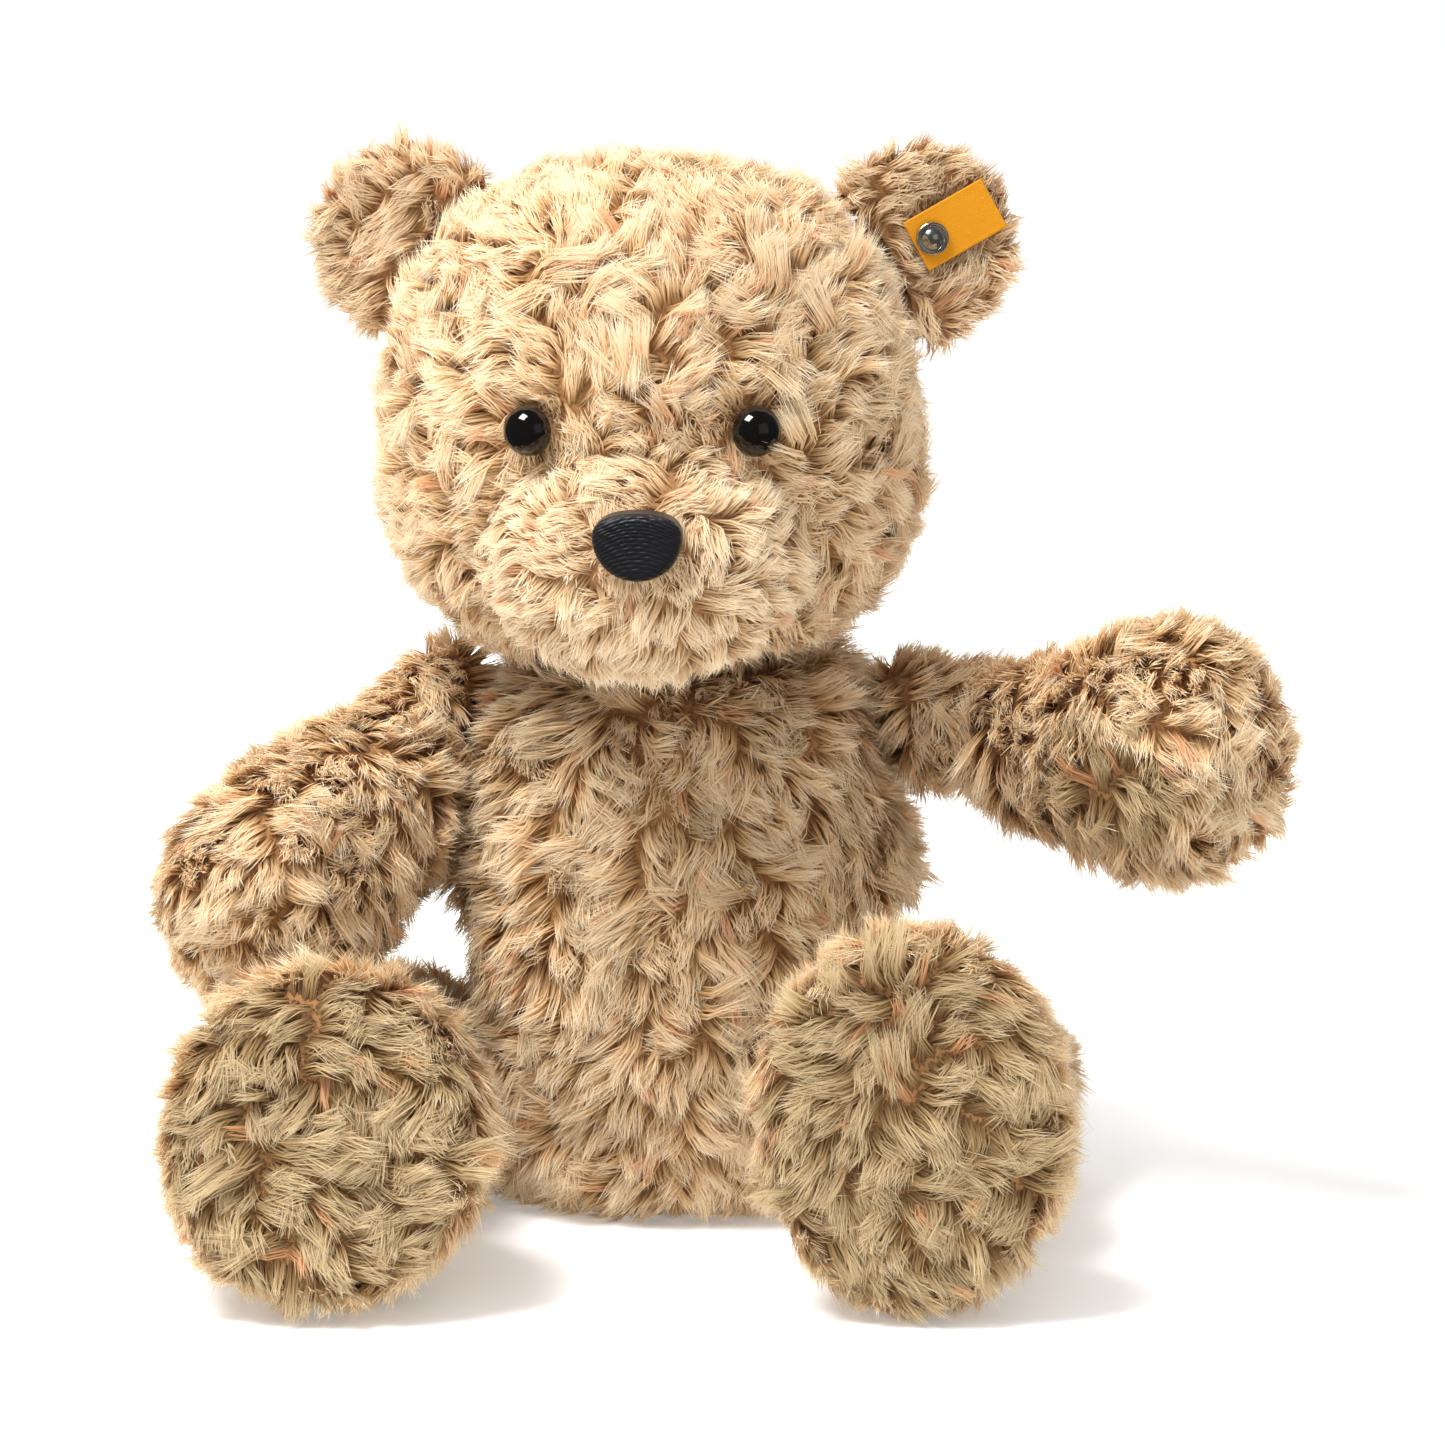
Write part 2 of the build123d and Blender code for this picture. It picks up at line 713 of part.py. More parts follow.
def build_arm(side, name):
    """Arm covers, paw pad, stuffing and its joint pieces."""
    outer = arm_form(side, 0)
    inner = arm_form(side, pile)
    save(f"arm_{name}_outer", arm_cover(side, outer, inner, "outer"))
    save(f"arm_{name}_inner", arm_cover(side, outer, inner, "inner"))
    save(f"paw_pad_{name}", arm_cover(side, outer, inner, "pad"))
    save(f"arm_{name}_stuffing", arm_stuffing(side, inner))
    save(f"shoulder_disc_{name}", joint_disc(shoulder_seat(side), shoulder_disc_radius))
    save(f"shoulder_lock_washer_{name}", lock_washer(shoulder_seat(side), shoulder_disc_radius))


def build_leg(side, name):
    """Leg covers, sole, stuffing and its joint pieces."""
    outer = leg_form(side, 0)
    inner = leg_form(side, pile)
    save(f"leg_{name}_outer", leg_cover(side, outer, inner, "outer"))
    save(f"leg_{name}_inner", leg_cover(side, outer, inner, "inner"))
    save(f"sole_{name}", leg_cover(side, outer, inner, "sole"))
    save(f"leg_{name}_stuffing", leg_stuffing(side, inner))
    save(f"hip_disc_{name}", joint_disc(hip_seat(side), hip_disc_radius))
    save(f"hip_lock_washer_{name}", lock_washer(hip_seat(side), hip_disc_radius))


build_torso()
build_head()
for arm_side, arm_name in ((1, "left"), (-1, "right")):
    build_arm(arm_side, arm_name)
    build_leg(arm_side, arm_name)
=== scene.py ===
"""Jointed teddy bear: stuffed skins, laid plush pile, eyes, nose, stud and studio."""

import logging
import math
from dataclasses import dataclass, field
from enum import Enum
from typing import Callable, Iterable, Optional

import bmesh
import bpy
import numpy as np
from mathutils import Matrix, Vector
from mathutils.bvhtree import BVHTree
from mathutils.kdtree import KDTree


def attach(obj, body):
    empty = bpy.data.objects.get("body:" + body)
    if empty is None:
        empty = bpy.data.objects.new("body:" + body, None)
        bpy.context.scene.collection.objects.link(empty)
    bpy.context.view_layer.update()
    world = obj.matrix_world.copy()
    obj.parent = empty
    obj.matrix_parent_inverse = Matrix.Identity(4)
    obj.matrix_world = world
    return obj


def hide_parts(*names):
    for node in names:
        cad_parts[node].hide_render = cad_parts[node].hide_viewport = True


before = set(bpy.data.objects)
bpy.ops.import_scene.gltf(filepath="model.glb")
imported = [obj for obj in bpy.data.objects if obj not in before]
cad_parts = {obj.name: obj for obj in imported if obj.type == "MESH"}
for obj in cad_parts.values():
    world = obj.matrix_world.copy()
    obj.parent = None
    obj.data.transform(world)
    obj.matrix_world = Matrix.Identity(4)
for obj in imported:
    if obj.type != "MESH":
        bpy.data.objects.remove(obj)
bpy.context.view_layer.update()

MM = 0.001
log = logging.getLogger("bear")

Field = Callable[[np.ndarray, np.ndarray], np.ndarray]


class Side(Enum):
    """The bear's own left and right, with the sign of X on each."""

    LEFT = 1
    RIGHT = -1

    @property
    def word(self) -> str:
        """The side as it stands in node names."""
        return self.name.lower()


class Body(Enum):
    """The moving bodies of the frame."""

    TORSO = "torso"
    HEAD = "head"
    ARM_LEFT = "arm_left"
    ARM_RIGHT = "arm_right"
    LEG_LEFT = "leg_left"
    LEG_RIGHT = "leg_right"


# ---------------------------------------------------------------- mesh help


def node_points(name: str) -> np.ndarray:
    """The corner points of one CAD node, in metres.

    Args:
        name: The node's name.

    Returns:
        An array of one row per point.
    """
    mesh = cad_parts[name].data
    points = np.empty(len(mesh.vertices) * 3, np.float32)
    mesh.vertices.foreach_get("co", points)
    return points.reshape(-1, 3).astype(float)


def unit(rows: np.ndarray) -> np.ndarray:
    """Rows scaled to length one."""
    return rows / np.maximum(np.linalg.norm(rows, axis=-1, keepdims=True), 1e-12)


def level_with(rows: np.ndarray, normals: np.ndarray) -> np.ndarray:
    """Rows laid flat on the surface that the normals belong to, at length one."""
    flat = rows - normals * np.sum(rows * normals, axis=-1, keepdims=True)
    return unit(flat)


def ripple(points: np.ndarray, size: float, seed: int) -> np.ndarray:
    """Smooth random waves in space.

    Args:
        points: One row per point, in metres.
        size: Rough distance between two swells, in metres.
        seed: Which set of waves.

    Returns:
        One value per point, mostly from -1 to 1.
    """
    rng = np.random.default_rng(seed)
    total = np.zeros(len(points))
    for _ in range(9):
        way = unit(rng.normal(size=3))
        pace = 2 * math.pi / size * rng.uniform(0.6, 1.5)
        total += np.sin(points @ (way * pace) + rng.uniform(0, 2 * math.pi))
    return total / 3.0


def tree_of(names: Iterable[str]) -> BVHTree:
    """A search tree over several CAD nodes."""
    shape = bmesh.new()
    for name in names:
        shape.from_mesh(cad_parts[name].data)
    tree = BVHTree.FromBMesh(shape)
    shape.free()
    return tree


def gaps_to(tree: BVHTree, points: np.ndarray, reach: float) -> np.ndarray:
    """Distance from each point to the nearest surface of a tree, up to a reach."""
    gaps = np.full(len(points), reach)
    for index, point in enumerate(points.tolist()):
        found = tree.find_nearest(point, reach)
        if found[3] is not None:
            gaps[index] = found[3]
    return gaps


def object_from(name: str, shape: bmesh.types.BMesh, smooth: bool = True) -> bpy.types.Object:
    """Makes a named object of a finished bmesh and frees the bmesh."""
    mesh = bpy.data.meshes.new(name)
    shape.to_mesh(mesh)
    shape.free()
    mesh.polygons.foreach_set("use_smooth", [smooth] * len(mesh.polygons))
    made = bpy.data.objects.new(name, mesh)
    bpy.context.scene.collection.objects.link(made)
    return made


def soften(shape: bmesh.types.BMesh, factor: float = 0.5, times: int = 1) -> None:
    """Smooths every corner of a mesh toward its neighbours."""
    for _ in range(times):
        bmesh.ops.smooth_vert(
            shape, verts=shape.verts, factor=factor,
            use_axis_x=True, use_axis_y=True, use_axis_z=True,
        )


def apply_modifiers(piece: bpy.types.Object) -> None:
    """Replaces a piece's mesh with its mesh after modifiers, and drops them."""
    graph = bpy.context.evaluated_depsgraph_get()
    final = bpy.data.meshes.new_from_object(piece.evaluated_get(graph))
    old = piece.data
    piece.modifiers.clear()
    piece.data = final
    final.name = piece.name
    bpy.data.meshes.remove(old)


def even_out(piece: bpy.types.Object, voxel: float) -> bmesh.types.BMesh:
    """Remeshes a piece in even faces and opens its largest island for shaping.

    Args:
        piece: The piece to remesh.
        voxel: The size of a face, in metres.

    Returns:
        The piece's largest island, to be shaped and written back.
    """
    remesh = piece.modifiers.new("even", "REMESH")
    remesh.mode = "VOXEL"
    remesh.voxel_size = voxel
    apply_modifiers(piece)
    shape = bmesh.new()
    shape.from_mesh(piece.data)
    keep_largest(shape)
    return shape


def keep_largest(shape: bmesh.types.BMesh) -> None:
    """Deletes every island of a mesh but the largest."""
    unseen = set(shape.verts)
    islands = []
    while unseen:
        stack = [unseen.pop()]
        island = []
        while stack:
            corner = stack.pop()
            island.append(corner)
            for edge in corner.link_edges:
                other = edge.other_vert(corner)
                if other in unseen:
                    unseen.remove(other)
                    stack.append(other)
        islands.append(island)
    islands.sort(key=len)
    extra = [corner for island in islands[:-1] for corner in island]
    bmesh.ops.delete(shape, geom=extra, context="VERTS")


def write_back(shape: bmesh.types.BMesh, piece: bpy.types.Object) -> None:
    """Puts a shaped bmesh back in its piece and frees it."""
    shape.to_mesh(piece.data)
    shape.free()


def round_off(piece: bpy.types.Object) -> None:
    """Adds one live step of subdivision to a turned piece."""
    rounder = piece.modifiers.new("rounder", "SUBSURF")
    rounder.levels = rounder.render_levels = 1


def lathe(profile: list[tuple[float, float]], steps: int = 72) -> bmesh.types.BMesh:
    """Turns a profile of (radius, height) points about the Z axis.

    Args:
        profile: Points from one end of the shape to the other, in metres.
        steps: How many steps make the full turn.

    Returns:
        The turned shape, closed, with its faces outwards.
    """
    shape = bmesh.new()
    corners = [shape.verts.new((radius, 0.0, height)) for radius, height in profile]
    edges = [shape.edges.new(pair) for pair in zip(corners, corners[1:])]
    bmesh.ops.spin(
        shape,
        geom=corners + edges,
        cent=(0, 0, 0),
        axis=(0, 0, 1),
        angle=2 * math.pi,
        steps=steps,
        use_merge=True,
    )
    bmesh.ops.remove_doubles(shape, verts=shape.verts, dist=1e-6)
    bmesh.ops.recalc_face_normals(shape, faces=shape.faces)
    return shape


def place(shape: bmesh.types.BMesh, origin: Vector, along: Vector, facing: Vector) -> None:
    """Moves a shape so that its X lies along one way and its Z faces another."""
    z_way = facing.normalized()
    x_way = (along - z_way * along.dot(z_way)).normalized()
    y_way = z_way.cross(x_way)
    turn = Matrix((x_way, y_way, z_way)).transposed().to_4x4()
    bmesh.ops.transform(shape, matrix=Matrix.Translation(origin) @ turn, verts=shape.verts)


# ---------------------------------------------------------------- finishes


class Nodes:
    """A small writer for one node tree."""

    def __init__(self, tree: bpy.types.NodeTree) -> None:
        """Takes the tree to write in."""
        self.tree = tree

    def add(self, kind: str, **settings: object) -> bpy.types.Node:
        """Adds a node and sets its named properties."""
        node = self.tree.nodes.new(kind)
        for key, value in settings.items():
            setattr(node, key, value)
        return node

    def link(self, start: bpy.types.NodeSocket, end: bpy.types.NodeSocket) -> None:
        """Joins two sockets."""
        self.tree.links.new(start, end)

    def ramp(self, stops: list[tuple[float, tuple[float, float, float]]]) -> bpy.types.Node:
        """Adds a colour ramp with the given stops."""
        node = self.add("ShaderNodeValToRGB")
        elements = node.color_ramp.elements
        elements[0].position, elements[0].color = stops[0][0], (*stops[0][1], 1)
        elements[1].position, elements[1].color = stops[-1][0], (*stops[-1][1], 1)
        for position, colour in stops[1:-1]:
            elements.new(position).color = (*colour, 1)
        return node

    def mix(self, blend: str, share: float) -> bpy.types.Node:
        """Adds a colour mix of the given kind and share."""
        node = self.add("ShaderNodeMix", data_type="RGBA", blend_type=blend)
        node.inputs[0].default_value = share
        return node


def linear(red: int, green: int, blue: int) -> tuple[float, float, float]:
    """A colour mixed on a screen, as the light it stands for."""
    return tuple(
        value / 12.92 if value <= 0.04045 else ((value + 0.055) / 1.055) ** 2.4
        for value in (red / 255, green / 255, blue / 255)
    )


def fleck_group() -> bpy.types.NodeTree:
    """The shared effect of fine uneven flecks, built once.

    Returns:
        A group that takes Vector, Scale, Depth and puts out a Value round 1 and a Height.
    """
    name = "uneven_flecks"
    if name in bpy.data.node_groups:
        return bpy.data.node_groups[name]
    group = bpy.data.node_groups.new(name, "ShaderNodeTree")
    group.interface.new_socket("Vector", in_out="INPUT", socket_type="NodeSocketVector")
    for word, value in (("Scale", 400.0), ("Depth", 0.2)):
        socket = group.interface.new_socket(word, in_out="INPUT", socket_type="NodeSocketFloat")
        socket.default_value = value
    group.interface.new_socket("Value", in_out="OUTPUT", socket_type="NodeSocketFloat")
    group.interface.new_socket("Height", in_out="OUTPUT", socket_type="NodeSocketFloat")
    write = Nodes(group)
    start = write.add("NodeGroupInput")
    end = write.add("NodeGroupOutput")
    noise = write.add("ShaderNodeTexNoise")
    noise.inputs["Detail"].default_value = 4
    centre = write.add("ShaderNodeMath", operation="SUBTRACT")
    centre.inputs[1].default_value = 0.5
    depth = write.add("ShaderNodeMath", operation="MULTIPLY")
    lift = write.add("ShaderNodeMath", operation="ADD")
    lift.inputs[1].default_value = 1.0
    write.link(start.outputs["Vector"], noise.inputs["Vector"])
    write.link(start.outputs["Scale"], noise.inputs["Scale"])
    write.link(noise.outputs["Fac"], centre.inputs[0])
    write.link(centre.outputs[0], depth.inputs[0])
    write.link(start.outputs["Depth"], depth.inputs[1])
    write.link(depth.outputs[0], lift.inputs[0])
    write.link(lift.outputs[0], end.inputs["Value"])
    write.link(noise.outputs["Fac"], end.inputs["Height"])
    return group


@dataclass(frozen=True)
class Finish:
    """A surface finish with one main colour, fine flecks and a light relief."""

    name: str
    colour: tuple[float, float, float]
    roughness: float = 0.5
    metallic: float = 0.0
    specular: float = 0.5
    sheen: float = 0.0
    coat: float = 0.0
    fleck_scale: float = 400.0
    fleck_depth: float = 0.2
    rough_depth: float = 0.2
    relief: float = 0.0
    glow: float = 0.0

    def shader(self, write: Nodes) -> bpy.types.Node:
        """Adds the surface shader with its whole-surface values."""
        out = write.add("ShaderNodeOutputMaterial")
        shader = write.add("ShaderNodeBsdfPrincipled")
        shader.inputs["Base Color"].default_value = (*self.colour, 1)
        shader.inputs["Roughness"].default_value = self.roughness
        shader.inputs["Metallic"].default_value = self.metallic
        shader.inputs["Specular IOR Level"].default_value = self.specular
        shader.inputs["Sheen Weight"].default_value = self.sheen
        shader.inputs["Sheen Roughness"].default_value = 0.45
        shader.inputs["Sheen Tint"].default_value = (1.0, 0.93, 0.82, 1)
        shader.inputs["Coat Weight"].default_value = self.coat
        shader.inputs["Coat Roughness"].default_value = 0.04
        shader.inputs["Emission Color"].default_value = (1, 1, 1, 1)
        shader.inputs["Emission Strength"].default_value = self.glow
        write.link(shader.outputs[0], out.inputs["Surface"])
        return shader

    def pattern(self, write: Nodes, shader: bpy.types.Node) -> None:
        """Adds the flecks that vary colour, roughness and relief."""
        place_of = write.add("ShaderNodeTexCoord")
        flecks = write.add("ShaderNodeGroup", node_tree=fleck_group())
        flecks.inputs["Scale"].default_value = self.fleck_scale
        flecks.inputs["Depth"].default_value = self.fleck_depth
        write.link(place_of.outputs["Object"], flecks.inputs["Vector"])
        tint = write.mix("MULTIPLY", 1.0)
        tint.inputs[6].default_value = (*self.colour, 1)
        write.link(flecks.outputs["Value"], tint.inputs[7])
        write.link(tint.outputs[2], shader.inputs["Base Color"])
        rough = write.add("ShaderNodeMath", operation="MULTIPLY_ADD")
        rough.inputs[1].default_value = self.rough_depth * self.roughness
        rough.inputs[2].default_value = self.roughness * (1 - 0.5 * self.rough_depth)
        write.link(flecks.outputs["Height"], rough.inputs[0])
        write.link(rough.outputs[0], shader.inputs["Roughness"])
        if self.relief:
            bump = write.add("ShaderNodeBump")
            bump.inputs["Strength"].default_value = 1.0
            bump.inputs["Distance"].default_value = self.relief
            write.link(flecks.outputs["Height"], bump.inputs["Height"])
            write.link(bump.outputs["Normal"], shader.inputs["Normal"])

    def material(self) -> bpy.types.Material:
        """The finish as a material, built the first time it is asked for."""
        title = f"finish_{self.name}"
        if title in bpy.data.materials:
            return bpy.data.materials[title]
        made = bpy.data.materials.new(title)
        made.use_nodes = True
        made.node_tree.nodes.clear()
        write = Nodes(made.node_tree)
        self.pattern(write, self.shader(write))
        return made


@dataclass(frozen=True)
class PlushFinish(Finish):
    """Pile whose colour runs from root to tip and changes from hair to hair: the dark root end is
    painted shade between the tufts, the pale tip end partly the fur's light tipping and partly
    painted highlight.
    """

    # root: dark brown painted shade for the gaps between tufts; tip: partly the fur's light
    # tipping, partly painted highlight.
    root: tuple[float, float, float] = linear(160, 110, 60)
    middle: tuple[float, float, float] = linear(234, 198, 146)
    tip: tuple[float, float, float] = linear(255, 240, 210)
    rust: tuple[float, float, float] = linear(226, 168, 120)
    through: float = 0.34

    def pattern(self, write: Nodes, shader: bpy.types.Node) -> None:
        """Colours the hair by its own map: across is the hair's tone, up is root to tip."""
        uv = write.add("ShaderNodeUVMap", uv_map="OFBake")
        split = write.add("ShaderNodeSeparateXYZ")
        write.link(uv.outputs["UV"], split.inputs["Vector"])
        # Root to tip: painted shade at the root, rising to a partly painted highlight at the tip.
        length = write.ramp(
            [(0.0, self.root), (0.40, self.middle), (0.82, self.tip)]
        )
        write.link(split.outputs["Y"], length.inputs["Fac"])
        tone = write.ramp(
            [
                (0.0, (0.70, 0.67, 0.62)),
                (0.30, (0.88, 0.87, 0.85)),
                (0.55, (1.0, 1.0, 1.0)),
                (0.78, (1.04, 1.05, 1.06)),
                (0.9, (1.0, 1.0, 1.0)),
            ]
        )
        write.link(split.outputs["X"], tone.inputs["Fac"])
        toned = write.mix("MULTIPLY", 1.0)
        write.link(length.outputs["Color"], toned.inputs[6])
        write.link(tone.outputs["Color"], toned.inputs[7])
        rusty = write.ramp([(0.88, (0, 0, 0)), (0.97, (0.75, 0.75, 0.75))])
        write.link(split.outputs["X"], rusty.inputs["Fac"])
        warmed = write.mix("MIX", 1.0)
        warmed.inputs[7].default_value = (*self.rust, 1)
        write.link(rusty.outputs["Color"], warmed.inputs[0])
        write.link(toned.outputs[2], warmed.inputs[6])
        stretch = write.add("ShaderNodeMapping")
        stretch.inputs["Scale"].default_value = (90, 3, 1)
        write.link(uv.outputs["UV"], stretch.inputs["Vector"])
        flecks = write.add("ShaderNodeGroup", node_tree=fleck_group())
        flecks.inputs["Scale"].default_value = self.fleck_scale
        flecks.inputs["Depth"].default_value = self.fleck_depth
        write.link(stretch.outputs["Vector"], flecks.inputs["Vector"])
        uneven = write.mix("MULTIPLY", 1.0)
        write.link(warmed.outputs[2], uneven.inputs[6])
        write.link(flecks.outputs["Value"], uneven.inputs[7])
        write.link(uneven.outputs[2], shader.inputs["Base Color"])
        thin = write.add("ShaderNodeBsdfTranslucent")
        write.link(uneven.outputs[2], thin.inputs["Color"])
        lit = write.add("ShaderNodeMixShader")
        lit.inputs[0].default_value = self.through
        write.link(shader.outputs[0], lit.inputs[1])
        write.link(thin.outputs[0], lit.inputs[2])
        out = next(node for node in write.tree.nodes if node.type == "OUTPUT_MATERIAL")
        write.link(lit.outputs[0], out.inputs["Surface"])


@dataclass(frozen=True)
class WovenFinish(Finish):
    """Cloth with crossing threads drawn across the piece's own map."""

    threads: float = 40.0
    thread_depth: float = 0.25

    def pattern(self, write: Nodes, shader: bpy.types.Node) -> None:
        """Adds warp and weft to colour and relief."""
        place_of = write.add("ShaderNodeTexCoord")
        waves = []
        for way in ("X", "Y"):
            wave = write.add("ShaderNodeTexWave", bands_direction=way)
            wave.inputs["Scale"].default_value = self.threads
            wave.inputs["Distortion"].default_value = 0.6
            wave.inputs["Detail"].default_value = 1.0
            write.link(place_of.outputs["UV"], wave.inputs["Vector"])
            waves.append(wave)
        cross = write.add("ShaderNodeMath", operation="MULTIPLY")
        write.link(waves[0].outputs["Fac"], cross.inputs[0])
        write.link(waves[1].outputs["Fac"], cross.inputs[1])
        shade = write.add("ShaderNodeMath", operation="MULTIPLY_ADD")
        shade.inputs[1].default_value = self.thread_depth
        shade.inputs[2].default_value = 1 - 0.6 * self.thread_depth
        write.link(cross.outputs[0], shade.inputs[0])
        tint = write.mix("MULTIPLY", 1.0)
        tint.inputs[6].default_value = (*self.colour, 1)
        write.link(shade.outputs[0], tint.inputs[7])
        write.link(tint.outputs[2], shader.inputs["Base Color"])
        bump = write.add("ShaderNodeBump")
        bump.inputs["Distance"].default_value = self.relief or 0.0001
        write.link(cross.outputs[0], bump.inputs["Height"])
        write.link(bump.outputs["Normal"], shader.inputs["Normal"])


PLUSH = PlushFinish(
    "golden_plush", linear(218, 178, 132), 0.75, specular=0.25, sheen=0.25,
    fleck_scale=1.0, fleck_depth=0.16,
)
MUZZLE_PLUSH = PlushFinish(
    "muzzle_plush", linear(228, 192, 150), 0.75, specular=0.25, sheen=0.25,
    fleck_scale=1.0, fleck_depth=0.14,
    # The root is darker still: painted shade for the underside of the muzzle.
    root=linear(164, 116, 68), middle=linear(232, 200, 154), tip=linear(255, 241, 212),
)
# Soles and paw pads: the body plush coloured darker as painted shade, for faces turned down and
# away from the light above.
PAD_PLUSH_PAINTED_SHADE = PlushFinish(
    "pad_plush", linear(204, 172, 132), 0.75, specular=0.25, sheen=0.25,
    fleck_scale=1.0, fleck_depth=0.16,
    root=linear(128, 92, 52), middle=linear(186, 154, 106), tip=linear(230, 210, 170),
)
# Ears: the body plush lifted lighter as painted light, for ears that the lamps leave darker.
EAR_PLUSH = PlushFinish(
    "ear_plush", linear(214, 176, 132), 0.75, specular=0.25, sheen=0.25,
    fleck_scale=1.0, fleck_depth=0.16,
    root=linear(172, 126, 78), middle=linear(238, 204, 158), tip=linear(255, 241, 212),
)
# The backing cloth, coloured dark brown as painted shade for the gaps between tufts where it
# shows.
GAP_SHADE_BACKING = Finish(
    "knitted_backing_gap_shade", linear(158, 116, 76), 0.95, specular=0.1, sheen=0.2,
    fleck_scale=900.0, fleck_depth=0.5, relief=0.0004,
)
EYE_GLOSS = Finish(
    "eye_gloss", linear(10, 8, 7), 0.07, specular=0.5, coat=0.3,
    fleck_scale=300.0, fleck_depth=0.3, rough_depth=0.5,
)
NOSE_THREAD = Finish(
    "nose_thread", linear(24, 25, 28), 0.42, specular=0.4, sheen=0.05,
    fleck_scale=2600.0, fleck_depth=0.6, relief=0.00005,
)
NOSE_FELT = Finish(
    "nose_felt", linear(20, 20, 22), 0.9, specular=0.2, sheen=0.3,
    fleck_scale=1800.0, fleck_depth=0.5, relief=0.0001,
)
STUD_METAL = Finish(
    "stud_metal", linear(206, 204, 198), 0.2, metallic=1.0,
    fleck_scale=700.0, fleck_depth=0.12, rough_depth=0.6, relief=0.00001,
)
TAG_CLOTH = WovenFinish(
    "tag_cloth", linear(226, 150, 18), 0.65, specular=0.2, sheen=0.05,
    threads=16.0, thread_depth=0.3, relief=0.00008,
)
WASHER_PLASTIC = Finish(
    "washer_plastic", linear(122, 84, 52), 0.6,
    fleck_scale=500.0, fleck_depth=0.08, relief=0.00003,
)
LOCK_PLASTIC = Finish(
    "lock_plastic", linear(108, 76, 50), 0.55,
    fleck_scale=500.0, fleck_depth=0.08, relief=0.00003,
)


# ---------------------------------------------------------------- stuffed skins


@dataclass
class StuffedSkin:
    """The backing cloth of one stuffed body, swollen over its filling."""

    body: Body
    filling: str
    covers: tuple[str, ...]
    plugs: tuple[tuple[str, ...], ...] = ()
    voxel: float = 4.0 * MM
    swell: float = 3.0 * MM
    seam_half_width: float = 4.0 * MM
    frames: int = 20
    fill: float = 0.9
    pressure: float = 4.0
    depth: float = 4.6 * MM
    probe: float = 11 * MM
    shift_most: float = 4.5 * MM
    shift_least: float = -1.5 * MM

    def blank(self) -> bpy.types.Object:
        """The filling and its plugged pockets as one closed, even mesh."""
        shape = bmesh.new()
        shape.from_mesh(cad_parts[self.filling].data)
        for names in self.plugs:
            self.add_plug(shape, names)
        bmesh.ops.remove_doubles(shape, verts=shape.verts, dist=1e-6)
        made = object_from(f"skin_{self.body.value}", shape)
        shape = even_out(made, self.voxel)
        soften(shape)
        write_back(shape, made)
        return made

    @staticmethod
    def add_plug(shape: bmesh.types.BMesh, names: tuple[str, ...]) -> None:
        """Adds the hull of some fittings, without any stem that sticks out of them.

        Args:
            shape: The mesh to add to.
            names: The fittings' CAD nodes.
        """
        points = np.concatenate([node_points(name) for name in names])
        if len(names) == 1:
            reach = np.linalg.norm(points - np.median(points, axis=0), axis=1)
            points = points[reach > 0.55 * np.percentile(reach, 90)]
            middle = np.median(points, axis=0)
            turned = np.linalg.svd(points[::7] - middle, full_matrices=False)[2]
            height = (points - middle) @ turned[2]
            points = points[np.abs(height) < 3 * MM]
        hull = bmesh.new()
        for point in points[:: max(1, len(points) // 600)]:
            hull.verts.new(point)
        made = bmesh.ops.convex_hull(hull, input=hull.verts)
        loose = {
            item
            for item in made["geom_interior"] + made["geom_unused"]
            if isinstance(item, bmesh.types.BMVert)
        }
        bmesh.ops.delete(hull, geom=list(loose), context="VERTS")
        kept = bpy.data.meshes.new("plug")
        hull.to_mesh(kept)
        hull.free()
        shape.from_mesh(kept)
        bpy.data.meshes.remove(kept)

    def seam_share(self, points: np.ndarray) -> np.ndarray:
        """How much of each point lies on a seam between two covers, 0 to 1."""
        if len(self.covers) < 2:
            return np.zeros(len(points))
        gaps = np.sort(
            np.stack([gaps_to(tree_of((name,)), points, 0.08) for name in self.covers]), axis=0
        )
        return np.clip(1 - (gaps[1] - gaps[0]) / self.seam_half_width, 0, 1)

    def inflate(self, piece: bpy.types.Object) -> None:
        """Blows the skin up with cloth pressure, held in at its seams."""
        rest = np.array([corner.co for corner in piece.data.vertices], float)
        seams = self.seam_share(rest)
        group = piece.vertex_groups.new(name="seams")
        for index in np.flatnonzero(seams > 0.3).tolist():
            group.add([index], float(seams[index]), "REPLACE")
        moved = self.blown(piece)
        push = moved - rest
        far = np.linalg.norm(push, axis=1, keepdims=True)
        limit = self.swell * (1 - 0.85 * seams[:, None])
        push *= np.minimum(1, limit / np.maximum(far, 1e-9))
        piece.data.vertices.foreach_set("co", (rest + push).astype(np.float32).ravel())
        piece.vertex_groups.clear()
        shape = bmesh.new()
        shape.from_mesh(piece.data)
        soften(shape, 0.4)
        write_back(shape, piece)

    def blown(self, piece: bpy.types.Object) -> np.ndarray:
        """Runs the cloth and gives each point's place after it.

        Args:
            piece: The skin, with a group for its held seams.

        Returns:
            One row per point.
        """
        scene = bpy.context.scene
        cloth = piece.modifiers.new("stuffing_push", "CLOTH")
        cloth.settings.use_pressure = True
        cloth.settings.uniform_pressure_force = self.pressure
        cloth.settings.effector_weights.gravity = 0.0
        cloth.settings.quality = 4
        cloth.settings.vertex_group_mass = "seams"
        cloth.point_cache.frame_start = 1
        cloth.point_cache.frame_end = self.frames
        for number in range(1, self.frames + 1):
            scene.frame_set(number)
        graph = bpy.context.evaluated_depsgraph_get()
        final = piece.evaluated_get(graph).to_mesh()
        points = np.array([corner.co for corner in final.vertices], float)
        piece.evaluated_get(graph).to_mesh_clear()
        piece.modifiers.clear()
        scene.frame_set(1)
        return points

